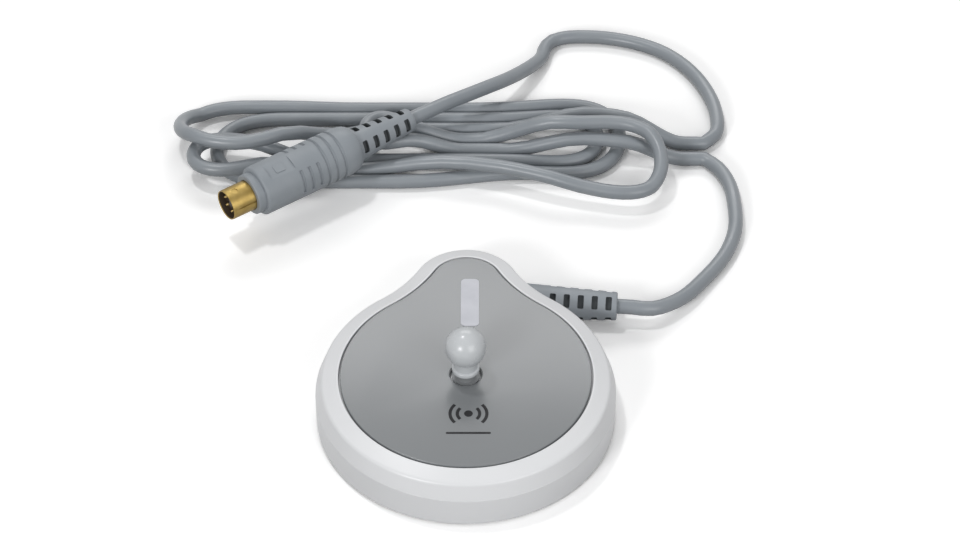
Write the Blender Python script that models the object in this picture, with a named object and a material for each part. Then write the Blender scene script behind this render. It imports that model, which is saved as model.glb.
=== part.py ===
# Belt-worn ultrasound transducer, lying face down, with its cable wound in a hank and its round plug.
# The origin is on the belt stud's axis in the plane that the acoustic face rests on, in metres:
# X to the right, Y towards the cable's side, Z up out of the plate.

import math

import bmesh
import bpy
import numpy as np
from mathutils import Matrix

# Fits between pieces
CLEARANCE = 0.0003
SCREW_CLEARANCE = 0.0003

# Drop-shaped outline: a main circle, a nose circle and the waist fillet between them
PLATE_RADIUS = 0.0354
PLATE_GAP = 0.0005
NOSE_RADIUS = 0.0101
NOSE_REACH = 0.0128
WAIST_RADIUS = 0.0438
RIM_WIDTH = 0.0071
MAIN_STEPS = 44
WAIST_STEPS = 6
NOSE_STEPS = 12

# Housing shells
WALL = 0.0022
FACE_PROUD = 0.0005
FLOOR = 0.0024
FOOT_ROUND = 0.0004
FOOT_STEPS = 3
PARTING_HEIGHT = 0.00955
SEAL_STEP = 0.0006
SEAL_LAND = 0.0009
SEAL_WIDTH = 0.0007
SHOULDER_SLOPE = math.radians(18.3)
SHOULDER_INSET = 0.00173
SHOULDER_ROUND = 0.0015
SHOULDER_STEPS = 6
PLATE_TOP = 0.0162
PLATE_THICKNESS = 0.0012
PLATE_BEVEL = 0.00025
DECK = 0.0020

# Belt stud and its fixing
BALL_RADIUS = 0.00575
BALL_HEIGHT = 0.0106
NECK_RADIUS = 0.0034
BEAD_RADIUS = 0.0039
BEAD_LOW = 0.0017
BEAD_HIGH = 0.0032
BEAD_ROUND = 0.0004
SEAT_RADIUS = 0.0039
SEAT_THICKNESS = 0.0006
STUD_HOLE_GAP = 0.0006
STUD_HOLE_BEVEL = 0.0003
SHANK_RADIUS = 0.0028
STUD_SCREW_RADIUS = 0.0009
STUD_SCREW_DEPTH = 0.0062
STUD_SCREW_HEAD_RADIUS = 0.0027
STUD_SCREW_HEAD = 0.0014
WASHER_RADIUS = 0.0060
WASHER_THICKNESS = 0.0008

# Acoustic face and crystals
FACE_LEDGE = 0.0025
FACE_FLANGE = 0.0010
FACE_CHAMFER = 0.0004
CARRIER_MARGIN = 0.0010
CARRIER_THICKNESS = 0.0014
CRYSTAL_RADIUS = 0.0046
CRYSTAL_THICKNESS = 0.0009
CRYSTAL_EDGE = 0.0082
CRYSTALS_IN_RING = 6
PAD_THICKNESS = 0.0012

# Circuit board and what it carries
BOARD_MARGIN = 0.0016
BOARD_THICKNESS = 0.0016
BOSS_RADIUS = 0.0024
BOSS_GAP = 0.0006
BOARD_SCREWS = 3
BOARD_SCREW_RADIUS = 0.0009
BOARD_SCREW_HEAD_RADIUS = 0.0019
BOARD_SCREW_HEAD = 0.0012
BOARD_SCREW_DEPTH = 0.0030
CAN_LENGTH = 0.0260
CAN_WIDTH = 0.0180
CAN_HEIGHT = 0.0024
CAN_WALL = 0.0004
CAN_EDGE = 0.0117
COIL_RADIUS = 0.0032
COIL_HEIGHT = 0.0024
COIL_LIP = 0.0005
COIL_DEPTH = 0.0006
COIL_X = 0.0150
COIL_SETBACK = 0.0252
SOCKET_LENGTH = 0.0070
SOCKET_DEPTH = 0.0040
SOCKET_HEIGHT = 0.0024
SOCKET_SETBACK = 0.0010

# Cable and the way it is held in the nose
CABLE_RADIUS = 0.00223
RELIEF_HEIGHT = 0.0058
RELIEF_ANGLE = math.radians(-4.5)
RELIEF_LENGTH = 0.0346
RELIEF_ROOT_RADIUS = 0.0057
RELIEF_END_RADIUS = 0.0042
RELIEF_NECK_RADIUS = 0.0025
RELIEF_FLANGE_WIDTH = 0.0084
RELIEF_FLANGE_HEIGHT = 0.0050
RELIEF_FLANGE = 0.0020
RELIEF_INSET = 0.0052
RELIEF_SLOT_SPACE = 0.0025
RELIEF_ROW_TURN = math.radians(37)
CLAMP_REACH = 0.0090
CLAMP_HALF_PITCH = 0.0054
CLAMP_BOSS_RADIUS = 0.0018
CLAMP_EDGE = 0.0022
CLAMP_WIDTH = 0.0056
CLAMP_HEIGHT = 0.0038
CLAMP_SCREW_RADIUS = 0.0007
CLAMP_SCREW_HEAD_RADIUS = 0.0015
CLAMP_SCREW_HEAD = 0.0011
CLAMP_SCREW_DEPTH = 0.0018
STUB_LENGTH = 0.0152
WIRES = 4
WIRE_RADIUS = 0.00042
WIRE_PITCH = 0.00110
WIRE_TURN = 0.0060
WIRE_STEPS = 8

# Slots of both moulded boots
SLOT_ROWS = 4
SLOTS_IN_ROW = 5
SLOT_PITCH = 0.0041
SLOT_WIDTH = 0.0018
SLOT_LENGTH = 0.0040
SLOT_DEPTH = 0.0016
BOOT_END_ROUND = 0.0003

# Plug, along its axis from the front of the metal shell
PLUG_X = -0.0724
PLUG_Y = 0.0735
PLUG_HEIGHT = 0.0142
PLUG_ANGLE = math.radians(36.4)
PLUG_ROLL = math.radians(16)
SHELL_RADIUS = 0.00475
SHELL_WALL = 0.0004
SHELL_EXPOSED = 0.0080
SHELL_SEAT = 0.0036
DIMPLE_RADIUS = 0.0010
DIMPLE_DEPTH = 0.00018
DIMPLE_X = 0.0029
DIMPLE_TURN = math.radians(-8)
SEAM_START = 0.0018
SEAM_WIDTH = 0.0004
SEAM_DEPTH = 0.0002
SEAM_TURN = math.radians(63)
INSERT_SETBACK = 0.0022
KEY_WIDTH = 0.0016
KEY_HEIGHT = 0.0028
KEY_SETBACK = 0.0016
PINS = 6
PIN_RADIUS = 0.0005
PIN_RING = 0.0028
PIN_SETBACK = 0.0012
PIN_TIP = 0.0006
NECK_COLLAR_RADIUS = 0.0064
NECK_COLLAR = 0.0025
BODY_RADIUS = 0.0078
BODY_EDGE = 0.0009
BODY_LENGTH = 0.0382
DOME_LENGTH = 0.0054
DOME_STEPS = 6
BODY_REAR_RADIUS = 0.0056
GROOVES = 3
GROOVE_START = 0.0247
GROOVE_PITCH = 0.00304
GROOVE_WIDTH = 0.0011
GROOVE_DEPTH = 0.0006
SIDE_GROOVES = 3
SIDE_GROOVE_START = math.radians(28)
SIDE_GROOVE_END = math.radians(88)
SIDE_GROOVE_STEPS = 6
PANEL_START = 0.0057
PANEL_LENGTH = 0.0088
PANEL_WIDTH = 0.0057
PANEL_DEPTH = 0.0007
PAD_LENGTH = 0.0034
PAD_WIDTH = 0.0030
PAD_RISE = 0.0004
PLUG_BOOT_LENGTH = 0.0214
PLUG_BOOT_ROOT_RADIUS = 0.0053
PLUG_BOOT_END_RADIUS = 0.0037
SPIGOT_RADIUS = 0.0026
SPIGOT_LENGTH = 0.0042
PLUG_SLOT_SPACE = 0.0033
PLUG_ROW_TURN = math.radians(52)

# Hank: runs that go to and fro, read along one angle that grows by half a turn for each run.
# Each run has a slot across the hank, left and right of the waist, where two runs change places.
# Each bend has its reach, shift, bulb, height, tilt, and the shares of its reach where it opens and climbs.
HANK_CENTRE_Y = 0.1155
HANK_PITCH = 0.0050
HANK_FAN_PITCH = 0.00788
HANK_FAN_REACH = 0.0600
HANK_LOW = 0.0023
HANK_OVER = 0.0076
HANK_STEPS_PER_RUN = 22
HANK_CROWDING = 0.4
HANK_LEFT_SLOTS = (2, 0, 7, 1, 5, 6, 3, 4)
HANK_RIGHT_SLOTS = (2, 0, 6, 1, 5, 7, 3, 4)
HANK_SWAP = (-0.0200, 0.0240)
HANK_HUMP = 1.9
HANK_REACH = (0.0720, -0.0900, 0.0480, -0.0785, 0.0410, -0.0850, 0.0600, -0.0320, 0.0720)
HANK_SHIFT = (0.0, -0.0095, 0.0, 0.0, 0.0, -0.0007, -0.0043, 0.0015, 0.0)
HANK_BULB = (0.0, 1.94, 0.0, 0.0, 0.0, 1.9, 0.0, 1.8, 0.0)
HANK_OPEN = (
    (0.0, 1.0),
    (0.3, 0.8),
    (0.4, 0.8),
    (0.4, 0.8),
    (0.4, 0.8),
    (0.62, 0.9),
    (0.1, 0.6),
    (0.35, 0.98),
    (0.0, 1.0),
)
HANK_BEND_HEIGHT = (HANK_LOW, 0.0080, HANK_LOW, HANK_LOW, HANK_LOW, 0.0075, 0.0096, 0.0073, HANK_LOW)
HANK_TILT = (0.0, 0.0050, 0.0, 0.0, 0.0, 0.0, -0.0030, 0.0, 0.0)
HANK_TILT_RATE = 3
HANK_CLIMB = (
    (0.0, 1.0),
    (0.4, 0.66),
    (0.4, 0.85),
    (0.4, 0.85),
    (0.4, 0.85),
    (0.55, 0.78),
    (0.05, 0.5),
    (0.05, 0.62),
    (0.0, 1.0),
)
HANK_END_Y = (0.0007, -0.0067)
HANK_MEET = (0.0360, 0.0700)
HANK_RISE = (0.0120, 0.0360)
HANK_FALL = (0.0495, 0.0670)

# Hand-chosen route points of the free cable, between the strain relief, the hank and the plug
LEAD_ROUTE = (
    (0.0545, 0.0380, 0.0052),
    (0.0633, 0.0440, 0.0035),
    (0.0712, 0.0540, 0.0025),
    (0.0778, 0.0644, 0.0023),
    (0.0816, 0.0756, 0.0023),
    (0.0822, 0.0868, 0.0023),
    (0.0812, 0.0970, 0.0023),
    (0.0782, 0.1045, 0.0023),
)
TAIL_ROUTE = (
    (-0.0060, 0.1230, 0.0134),
    (0.0050, 0.1325, 0.0112),
    (0.0137, 0.1420, 0.0080),
    (0.0206, 0.1520, 0.0047),
    (0.0241, 0.1590, 0.0027),
    (0.0251, 0.1638, 0.0023),
    (0.0271, 0.1676, 0.0023),
    (0.0317, 0.1698, 0.0023),
    (0.0395, 0.1703, 0.0023),
    (0.0475, 0.1693, 0.0023),
    (0.0565, 0.1664, 0.0023),
    (0.0645, 0.1615, 0.0023),
    (0.0720, 0.1528, 0.0023),
    (0.0771, 0.1417, 0.0023),
    (0.0793, 0.1304, 0.0023),
    (0.0785, 0.1209, 0.0023),
)
ROUTE_STEP = 0.0055

# Faces round a turned piece
FINE_STEPS = 32
ROUND_STEPS = 24
SMALL_STEPS = 12
DISC_STEPS = 48

# Heights and radii that follow from the sizes above
nose_centre = PLATE_RADIUS + NOSE_REACH - NOSE_RADIUS
floor_top = FACE_PROUD + FLOOR
flange_low = floor_top + CLEARANCE
flange_top = flange_low + FACE_FLANGE
carrier_low = flange_top + CLEARANCE
carrier_top = carrier_low + CARRIER_THICKNESS
pad_low = carrier_top + CLEARANCE
pad_top = pad_low + PAD_THICKNESS
board_low = pad_top + CLEARANCE
board_top = board_low + BOARD_THICKNESS
plate_low = PLATE_TOP - PLATE_THICKNESS
deck_top = plate_low - CLEARANCE
deck_low = deck_top - DECK
parting_top = PARTING_HEIGHT + CLEARANCE
inner_offset = RIM_WIDTH - WALL
cavity_radius = PLATE_RADIUS + inner_offset
board_radius = cavity_radius - BOARD_MARGIN
boss_ring = board_radius - BOSS_RADIUS
flange_radius = boss_ring - BOSS_RADIUS - BOSS_GAP
window_radius = flange_radius - FACE_LEDGE
carrier_radius = window_radius - CARRIER_MARGIN
crystal_ring = carrier_radius - CRYSTAL_EDGE - CRYSTAL_RADIUS
can_offset = board_radius - CAN_EDGE - CAN_WIDTH / 2
stud_hole_radius = SEAT_RADIUS + STUD_HOLE_GAP
board_screw_hole = BOARD_SCREW_RADIUS + SCREW_CLEARANCE
clamp_screw_hole = CLAMP_SCREW_RADIUS + SCREW_CLEARANCE

# Place of the strain relief: its flange stands just inside the nose, clear of the acoustic face
relief_x = NOSE_RADIUS + inner_offset - RELIEF_INSET
relief_y = flange_radius + BOSS_GAP + CLAMP_BOSS_RADIUS + CLAMP_HALF_PITCH
stub_start = -CLEARANCE
clamp_length = 2 * (CLAMP_HALF_PITCH + CLAMP_EDGE)
clamp_top = RELIEF_HEIGHT + CLAMP_HEIGHT
board_flat = relief_y - clamp_length / 2 - CLEARANCE

# Lengths along the plug's axis
body_end = SHELL_EXPOSED + BODY_LENGTH
boot_start = body_end + CLEARANCE
boot_end = boot_start + PLUG_BOOT_LENGTH
shell_end = SHELL_EXPOSED + SHELL_SEAT
shell_bore = SHELL_RADIUS - SHELL_WALL
insert_radius = shell_bore - CLEARANCE


def clear_scene():
    for item in list(bpy.data.objects):
        bpy.data.objects.remove(item, do_unlink=True)


def make_material(name, colour, roughness, metallic=0.0):
    material = bpy.data.materials.new(name)
    material.use_nodes = True
    shader = material.node_tree.nodes["Principled BSDF"]
    shader.inputs["Base Color"].default_value = (*colour, 1.0)
    shader.inputs["Roughness"].default_value = roughness
    shader.inputs["Metallic"].default_value = metallic
    return material


def add_empty(name, place, angle, roll=0.0):
    empty = bpy.data.objects.new(name, None)
    empty.location = place
    empty.rotation_euler = (roll, 0.0, angle)
    bpy.context.scene.collection.objects.link(empty)
    return empty


def add_object(name, shape, material=None, parent=None):
    mesh = bpy.data.meshes.new(name)
    bmesh.ops.recalc_face_normals(shape, faces=shape.faces)
    shape.to_mesh(mesh)
    shape.free()
    mesh.shade_smooth()
    mesh.set_sharp_from_angle(angle=math.radians(32))
    piece = bpy.data.objects.new(name, mesh)
    bpy.context.scene.collection.objects.link(piece)
    piece.parent = parent
    if material:
        mesh.materials.append(material)
    else:
        piece.hide_render = True
        piece.display_type = "WIRE"
    return piece


def boolean(piece, operation, name, shape, parent=None):
    other = add_object(name, shape, None, parent)
    modifier = piece.modifiers.new(name, "BOOLEAN")
    modifier.operation = operation
    modifier.solver = "EXACT"
    modifier.object = other


def cut(piece, name, shape, parent=None):
    boolean(piece, "DIFFERENCE", name, shape, parent)


def join(piece, name, shape, parent=None):
    boolean(piece, "UNION", name, shape, parent)


# A turned shape from a profile of (radius, height) points, about Z or, with along_x, about X
def turned(profile, steps, ring=False, along_x=False):
    shape = bmesh.new()
    points = [shape.verts.new((radius, 0.0, height)) for radius, height in profile]
    for first, second in zip(points, points[1:]):
        shape.edges.new((first, second))
    if ring:
        shape.edges.new((points[-1], points[0]))
    bmesh.ops.spin(
        shape,
        geom=list(shape.verts) + list(shape.edges),
        cent=(0, 0, 0),
        axis=(0, 0, 1),
        angle=math.tau,
        steps=steps,
        use_merge=True,
    )
    bmesh.ops.remove_doubles(shape, verts=shape.verts, dist=1e-7)
    if along_x:
        bmesh.ops.rotate(shape, verts=shape.verts, matrix=Matrix.Rotation(math.pi / 2, 3, "Y"))
    bmesh.ops.recalc_face_normals(shape, faces=shape.faces)
    return shape


def disc(radius, low, high, steps=ROUND_STEPS, along_x=False):
    shape = bmesh.new()
    place = Matrix.Translation((0, 0, (low + high) / 2))
    if along_x:
        place = Matrix.Rotation(math.pi / 2, 4, "Y") @ place
    bmesh.ops.create_cone(
        shape, cap_ends=True, segments=steps, radius1=radius, radius2=radius, depth=high - low, matrix=place
    )
    return shape


def moved(shape, x, y, z=0.0):
    bmesh.ops.translate(shape, verts=shape.verts, vec=(x, y, z))
    return shape


def turned_about_x(shape, angle):
    bmesh.ops.rotate(shape, verts=shape.verts, matrix=Matrix.Rotation(angle, 3, "X"))
    return shape


def merged(shapes):
    whole = bmesh.new()
    for shape in shapes:
        mesh = bpy.data.meshes.new("merge")
        shape.to_mesh(mesh)
        shape.free()
        whole.from_mesh(mesh)
        bpy.data.meshes.remove(mesh)
    return whole


def block(low, high):
    shape = bmesh.new()
    bmesh.ops.create_cube(shape, size=1.0)
    for corner in shape.verts:
        for axis in range(3):
            corner.co[axis] = low[axis] if corner.co[axis] < 0 else high[axis]
    return shape


# The plate's outline grown outwards by an offset: the arcs keep their centres
def drop_outline(offset):
    main = PLATE_RADIUS + WAIST_RADIUS
    nose = NOSE_RADIUS + WAIST_RADIUS
    waist_y = (main**2 - nose**2 + nose_centre**2) / (2 * nose_centre)
    waist_x = math.sqrt(main**2 - waist_y**2)
    main_angle = math.atan2(waist_y, waist_x)
    nose_angle = math.atan2(waist_y - nose_centre, waist_x)

    def arc(x, y, radius, start, end, steps):
        angles = np.linspace(start, end, steps, endpoint=False)
        return [(x + radius * math.cos(a), y + radius * math.sin(a)) for a in angles]

    main_radius = PLATE_RADIUS + offset
    nose_radius = NOSE_RADIUS + offset
    waist_radius = WAIST_RADIUS - offset
    turn = math.pi
    return (
        arc(0, 0, main_radius, turn - main_angle, 2 * turn + main_angle, MAIN_STEPS)
        + arc(waist_x, waist_y, waist_radius, main_angle + turn, nose_angle + turn, WAIST_STEPS)
        + arc(0, nose_centre, nose_radius, nose_angle, turn - nose_angle, NOSE_STEPS)
        + arc(-waist_x, waist_y, waist_radius, -nose_angle, -main_angle, WAIST_STEPS)
    )


# A loft of drop outlines through (offset, height) points, closed by end faces or back on itself
def drop_loft(profile, ring=False):
    shape = bmesh.new()
    loops = []
    for offset, height in profile:
        loops.append([shape.verts.new((x, y, height)) for x, y in drop_outline(offset)])
    count = len(loops[0])
    pairs = list(zip(loops, loops[1:]))
    if ring:
        pairs.append((loops[-1], loops[0]))
    for low, high in pairs:
        for i in range(count):
            j = (i + 1) % count
            shape.faces.new((low[i], low[j], high[j], high[i]))
    if not ring:
        shape.faces.new(loops[0])
        shape.faces.new(loops[-1])
    bmesh.ops.recalc_face_normals(shape, faces=shape.faces)
    return shape


def quarter(steps):
    return np.linspace(0, math.pi / 2, steps + 1)


def boss_places():
    places = []
    for i in range(BOARD_SCREWS):
        angle = math.tau * i / BOARD_SCREWS - math.pi / 2
        places.append((boss_ring * math.cos(angle), boss_ring * math.sin(angle)))
    return places


def bottom_housing(material, relief):
    round_up = [
        (
            RIM_WIDTH - FOOT_ROUND + FOOT_ROUND * math.sin(a),
            FACE_PROUD + FOOT_ROUND - FOOT_ROUND * math.cos(a),
        )
        for a in quarter(FOOT_STEPS)
    ]
    rim = [
        (RIM_WIDTH, PARTING_HEIGHT),
        (RIM_WIDTH - SEAL_LAND, PARTING_HEIGHT),
        (RIM_WIDTH - SEAL_LAND, PARTING_HEIGHT - SEAL_STEP),
        (inner_offset, PARTING_HEIGHT - SEAL_STEP),
        (inner_offset, floor_top),
    ]
    housing = add_object("bottom_housing", drop_loft(round_up + rim), material)
    seat = FACE_PROUD + FLOOR / 2
    bosses = [
        moved(disc(BOSS_RADIUS, seat, board_low - CLEARANCE, SMALL_STEPS), x, y)
        for x, y in boss_places()
    ]
    join(housing, "board_bosses", merged(bosses))
    clamp_bosses = [
        moved(
            disc(CLAMP_BOSS_RADIUS, seat, RELIEF_HEIGHT - CLEARANCE, SMALL_STEPS),
            -CLAMP_REACH,
            side * CLAMP_HALF_PITCH,
        )
        for side in (-1, 1)
    ]
    low_frame = add_empty("clamp_floor_frame", (relief_x, relief_y, 0), RELIEF_ANGLE)
    join(housing, "clamp_bosses", merged(clamp_bosses), low_frame)
    window = disc(window_radius, -FLOOR, floor_top + FLOOR, DISC_STEPS)
    cut(housing, "face_window", window)
    pilots = [
        moved(
            disc(board_screw_hole, board_low - BOARD_SCREW_DEPTH - CLEARANCE, board_top, SMALL_STEPS), x, y
        )
        for x, y in boss_places()
    ]
    cut(housing, "board_pilots", merged(pilots))
    clamp_pilots = [
        moved(
            disc(
                clamp_screw_hole,
                RELIEF_HEIGHT - CLAMP_SCREW_DEPTH - CLEARANCE,
                clamp_top,
                SMALL_STEPS,
            ),
            -CLAMP_REACH,
            side * CLAMP_HALF_PITCH,
        )
        for side in (-1, 1)
    ]
    cut(housing, "clamp_pilots", merged(clamp_pilots), low_frame)
    hole = disc(
        RELIEF_NECK_RADIUS + CLEARANCE, RELIEF_FLANGE + CLEARANCE, RELIEF_LENGTH, ROUND_STEPS, along_x=True
    )
    cut(housing, "relief_hole", hole, relief)


# The shoulder slopes gently to an edge, turns through a small round and falls steeply to the parting line
def top_housing(material):
    edge = RIM_WIDTH - SHOULDER_INSET
    edge_height = PLATE_TOP - (edge - PLATE_GAP) * math.tan(SHOULDER_SLOPE)
    side_slope = math.atan2(edge_height - parting_top, SHOULDER_INSET)
    reach = SHOULDER_ROUND * math.tan((side_slope - SHOULDER_SLOPE) / 2)
    start = edge - reach * math.cos(SHOULDER_SLOPE)
    start_height = edge_height + reach * math.sin(SHOULDER_SLOPE)
    shoulder = [
        (
            start + SHOULDER_ROUND * (math.sin(slope) - math.sin(SHOULDER_SLOPE)),
            start_height - SHOULDER_ROUND * (math.cos(SHOULDER_SLOPE) - math.cos(slope)),
        )
        for slope in np.linspace(SHOULDER_SLOPE, side_slope, SHOULDER_STEPS + 1)
    ]
    outside = [(PLATE_GAP, deck_top), (PLATE_GAP, PLATE_TOP)] + shoulder + [(RIM_WIDTH, parting_top)]
    inside = [
        (RIM_WIDTH - SEAL_LAND, parting_top),
        (RIM_WIDTH - SEAL_LAND, parting_top + SEAL_STEP),
        (inner_offset, parting_top + SEAL_STEP),
        (inner_offset, deck_low),
    ]
    housing = add_object("top_housing", drop_loft(outside + inside), material)
    cut(housing, "shank_hole", disc(SHANK_RADIUS + CLEARANCE, deck_low - DECK, PLATE_TOP, ROUND_STEPS))


def housing_seal(material):
    outer = RIM_WIDTH - SEAL_LAND - CLEARANCE
    low = PARTING_HEIGHT - SEAL_STEP + CLEARANCE
    high = parting_top + SEAL_STEP - CLEARANCE
    profile = [(outer, low), (outer, high), (outer - SEAL_WIDTH, high), (outer - SEAL_WIDTH, low)]
    add_object("housing_seal", drop_loft(profile, ring=True), material)


def label_plate(material):
    profile = [(0, plate_low), (0, PLATE_TOP - PLATE_BEVEL), (-PLATE_BEVEL, PLATE_TOP)]
    plate = add_object("label_plate", drop_loft(profile), material)
    hole = [
        (0, PLATE_TOP + PLATE_THICKNESS),
        (stud_hole_radius + STUD_HOLE_BEVEL, PLATE_TOP + PLATE_THICKNESS),
        (stud_hole_radius + STUD_HOLE_BEVEL, PLATE_TOP),
        (stud_hole_radius, PLATE_TOP - STUD_HOLE_BEVEL),
        (stud_hole_radius, deck_low),
        (0, deck_low),
    ]
    cut(plate, "stud_hole", turned(hole, ROUND_STEPS))


def belt_stud(plastic, steel):
    centre = PLATE_TOP + BALL_HEIGHT
    neck_angle = math.asin(NECK_RADIUS / BALL_RADIUS)
    ball = [
        (BALL_RADIUS * math.sin(a), centre + BALL_RADIUS * math.cos(a))
        for a in np.linspace(0, math.pi - neck_angle, SMALL_STEPS)
    ]
    bore = STUD_SCREW_RADIUS + SCREW_CLEARANCE
    bore_top = deck_low + STUD_SCREW_DEPTH + CLEARANCE
    bead_low = PLATE_TOP + BEAD_LOW
    bead_high = PLATE_TOP + BEAD_HIGH
    stem = [
        (NECK_RADIUS, bead_high),
        (BEAD_RADIUS - BEAD_ROUND, bead_high),
        (BEAD_RADIUS, bead_high - BEAD_ROUND),
        (BEAD_RADIUS, bead_low + BEAD_ROUND),
        (BEAD_RADIUS - BEAD_ROUND, bead_low),
        (SHANK_RADIUS, bead_low),
        (SHANK_RADIUS, plate_low + SEAT_THICKNESS),
        (SEAT_RADIUS, plate_low + SEAT_THICKNESS),
        (SEAT_RADIUS, plate_low),
        (SHANK_RADIUS, plate_low),
        (SHANK_RADIUS, deck_low),
        (bore, deck_low),
        (bore, bore_top),
        (0, bore_top),
    ]
    add_object("belt_stud", turned(ball + stem, ROUND_STEPS), plastic)
    washer_top = deck_low - CLEARANCE
    washer_low = washer_top - WASHER_THICKNESS
    washer = [
        (bore, washer_top),
        (WASHER_RADIUS, washer_top),
        (WASHER_RADIUS, washer_low),
        (bore, washer_low),
    ]
    add_object("stud_washer", turned(washer, ROUND_STEPS, ring=True), steel)
    head_top = washer_low - CLEARANCE
    screw = [
        (0, deck_low + STUD_SCREW_DEPTH),
        (STUD_SCREW_RADIUS, deck_low + STUD_SCREW_DEPTH),
        (STUD_SCREW_RADIUS, head_top),
        (STUD_SCREW_HEAD_RADIUS, head_top),
        (STUD_SCREW_HEAD_RADIUS, head_top - STUD_SCREW_HEAD),
        (0, head_top - STUD_SCREW_HEAD),
    ]
    add_object("stud_screw", turned(screw, SMALL_STEPS), steel)


def face_plate(material):
    radius = window_radius - CLEARANCE
    profile = [
        (0, flange_top),
        (flange_radius, flange_top),
        (flange_radius, flange_low),
        (radius, flange_low),
        (radius, FACE_CHAMFER),
        (radius - FACE_CHAMFER, 0),
        (0, 0),
    ]
    add_object("face_plate", turned(profile, DISC_STEPS), material)


def crystals(carrier_material, crystal_material, pad_material):
    places = [(0.0, 0.0)]
    for i in range(CRYSTALS_IN_RING):
        angle = math.tau * i / CRYSTALS_IN_RING
        places.append((crystal_ring * math.cos(angle), crystal_ring * math.sin(angle)))
    spacer = disc(carrier_radius, carrier_low, carrier_top, DISC_STEPS)
    carrier = add_object("crystal_carrier", spacer, carrier_material)
    holes = [
        moved(disc(CRYSTAL_RADIUS + CLEARANCE, carrier_low - FLOOR, carrier_top + FLOOR), x, y)
        for x, y in places
    ]
    cut(carrier, "crystal_holes", merged(holes))
    for number, (x, y) in enumerate(places, 1):
        slice_shape = disc(CRYSTAL_RADIUS, 0, CRYSTAL_THICKNESS)
        crystal = add_object(f"crystal_{number}", slice_shape, crystal_material)
        crystal.location = (x, y, carrier_low)
    add_object("damping_pad", disc(carrier_radius, pad_low, pad_top, DISC_STEPS), pad_material)


def screw_shape(radius, depth, head_radius, head):
    profile = [(0, head), (head_radius, head), (head_radius, 0), (radius, 0), (radius, -depth), (0, -depth)]
    return turned(profile, SMALL_STEPS)


def circuit_board(board_material, steel, dark, copper):
    board = add_object("circuit_board", disc(board_radius, board_low, board_top, DISC_STEPS), board_material)
    far = 2 * cavity_radius
    cut(board, "board_flat_side", block((-far, board_flat, -far), (far, far, far)))
    holes = [
        moved(disc(board_screw_hole, board_low - FLOOR, board_top + FLOOR, SMALL_STEPS), x, y)
        for x, y in boss_places()
    ]
    cut(board, "board_holes", merged(holes))
    seat = board_top + CLEARANCE
    depth = seat - board_low + BOARD_SCREW_DEPTH
    for number, (x, y) in enumerate(boss_places(), 1):
        shape = screw_shape(BOARD_SCREW_RADIUS, depth, BOARD_SCREW_HEAD_RADIUS, BOARD_SCREW_HEAD)
        screw = add_object(f"board_screw_{number}", shape, steel)
        screw.location = (x, y, seat)

    half = (CAN_LENGTH / 2, CAN_WIDTH / 2)
    can = add_object("shield_can", block((-half[0], -half[1], 0), (half[0], half[1], CAN_HEIGHT)), steel)
    can.location = (0, -can_offset, seat)
    room = block(
        (CAN_WALL - half[0], CAN_WALL - half[1], -CAN_HEIGHT),
        (half[0] - CAN_WALL, half[1] - CAN_WALL, CAN_HEIGHT - CAN_WALL),
    )
    cut(can, "can_room", room, can)

    bobbin = [
        (0, COIL_HEIGHT),
        (COIL_RADIUS, COIL_HEIGHT),
        (COIL_RADIUS, COIL_HEIGHT - COIL_LIP),
        (COIL_RADIUS - COIL_DEPTH, COIL_HEIGHT - COIL_LIP),
        (COIL_RADIUS - COIL_DEPTH, COIL_LIP),
        (COIL_RADIUS, COIL_LIP),
        (COIL_RADIUS, 0),
        (0, 0),
    ]
    coil = add_object("tuning_coil", turned(bobbin, ROUND_STEPS), copper)
    coil.location = (COIL_X, board_flat - COIL_SETBACK, seat)

    socket = add_object(
        "board_socket",
        block((-SOCKET_LENGTH / 2, -SOCKET_DEPTH, 0), (SOCKET_LENGTH / 2, 0, SOCKET_HEIGHT)),
        dark,
    )
    socket.location = (wire_end_x(), board_flat - SOCKET_SETBACK, seat)


# Slots in rows round a boot, in line with each other, counted back from the last one
def boot_slots(last, radius_at, row_turn):
    slots = []
    for row in range(SLOT_ROWS):
        for i in range(SLOTS_IN_ROW):
            x = last - i * SLOT_PITCH
            bottom = radius_at(x) - SLOT_DEPTH
            slot = block(
                (x - SLOT_WIDTH / 2, -SLOT_LENGTH / 2, bottom),
                (x + SLOT_WIDTH / 2, SLOT_LENGTH / 2, bottom + 2 * SLOT_DEPTH + SLOT_LENGTH),
            )
            slots.append(turned_about_x(slot, row_turn + math.tau * row / SLOT_ROWS))
    return merged(slots)


def strain_relief(material, relief):
    def radius_at(x):
        share = x / RELIEF_LENGTH
        return RELIEF_ROOT_RADIUS + (RELIEF_END_RADIUS - RELIEF_ROOT_RADIUS) * share

    profile = [
        (0, RELIEF_FLANGE),
        (radius_at(RELIEF_FLANGE), RELIEF_FLANGE),
        (RELIEF_END_RADIUS, RELIEF_LENGTH - BOOT_END_ROUND),
        (RELIEF_END_RADIUS - BOOT_END_ROUND, RELIEF_LENGTH),
        (0, RELIEF_LENGTH),
    ]
    boot = add_object("strain_relief", turned(profile, ROUND_STEPS, along_x=True), material, relief)
    tall = PLATE_TOP * 2
    head = drop_loft([(RIM_WIDTH + CLEARANCE, -tall), (RIM_WIDTH + CLEARANCE, tall)])
    cut(boot, "head_outline", head)
    slots = boot_slots(RELIEF_LENGTH - RELIEF_SLOT_SPACE, radius_at, RELIEF_ROW_TURN)
    cut(boot, "relief_slots", slots, relief)
    neck = disc(RELIEF_NECK_RADIUS, RELIEF_FLANGE / 2, RELIEF_LENGTH / 2, ROUND_STEPS, along_x=True)
    join(boot, "relief_neck", neck, relief)
    wide = RELIEF_FLANGE_WIDTH / 2
    tall = RELIEF_FLANGE_HEIGHT / 2
    join(boot, "relief_flange", block((0, -wide, -tall), (RELIEF_FLANGE, wide, tall)), relief)


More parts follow.
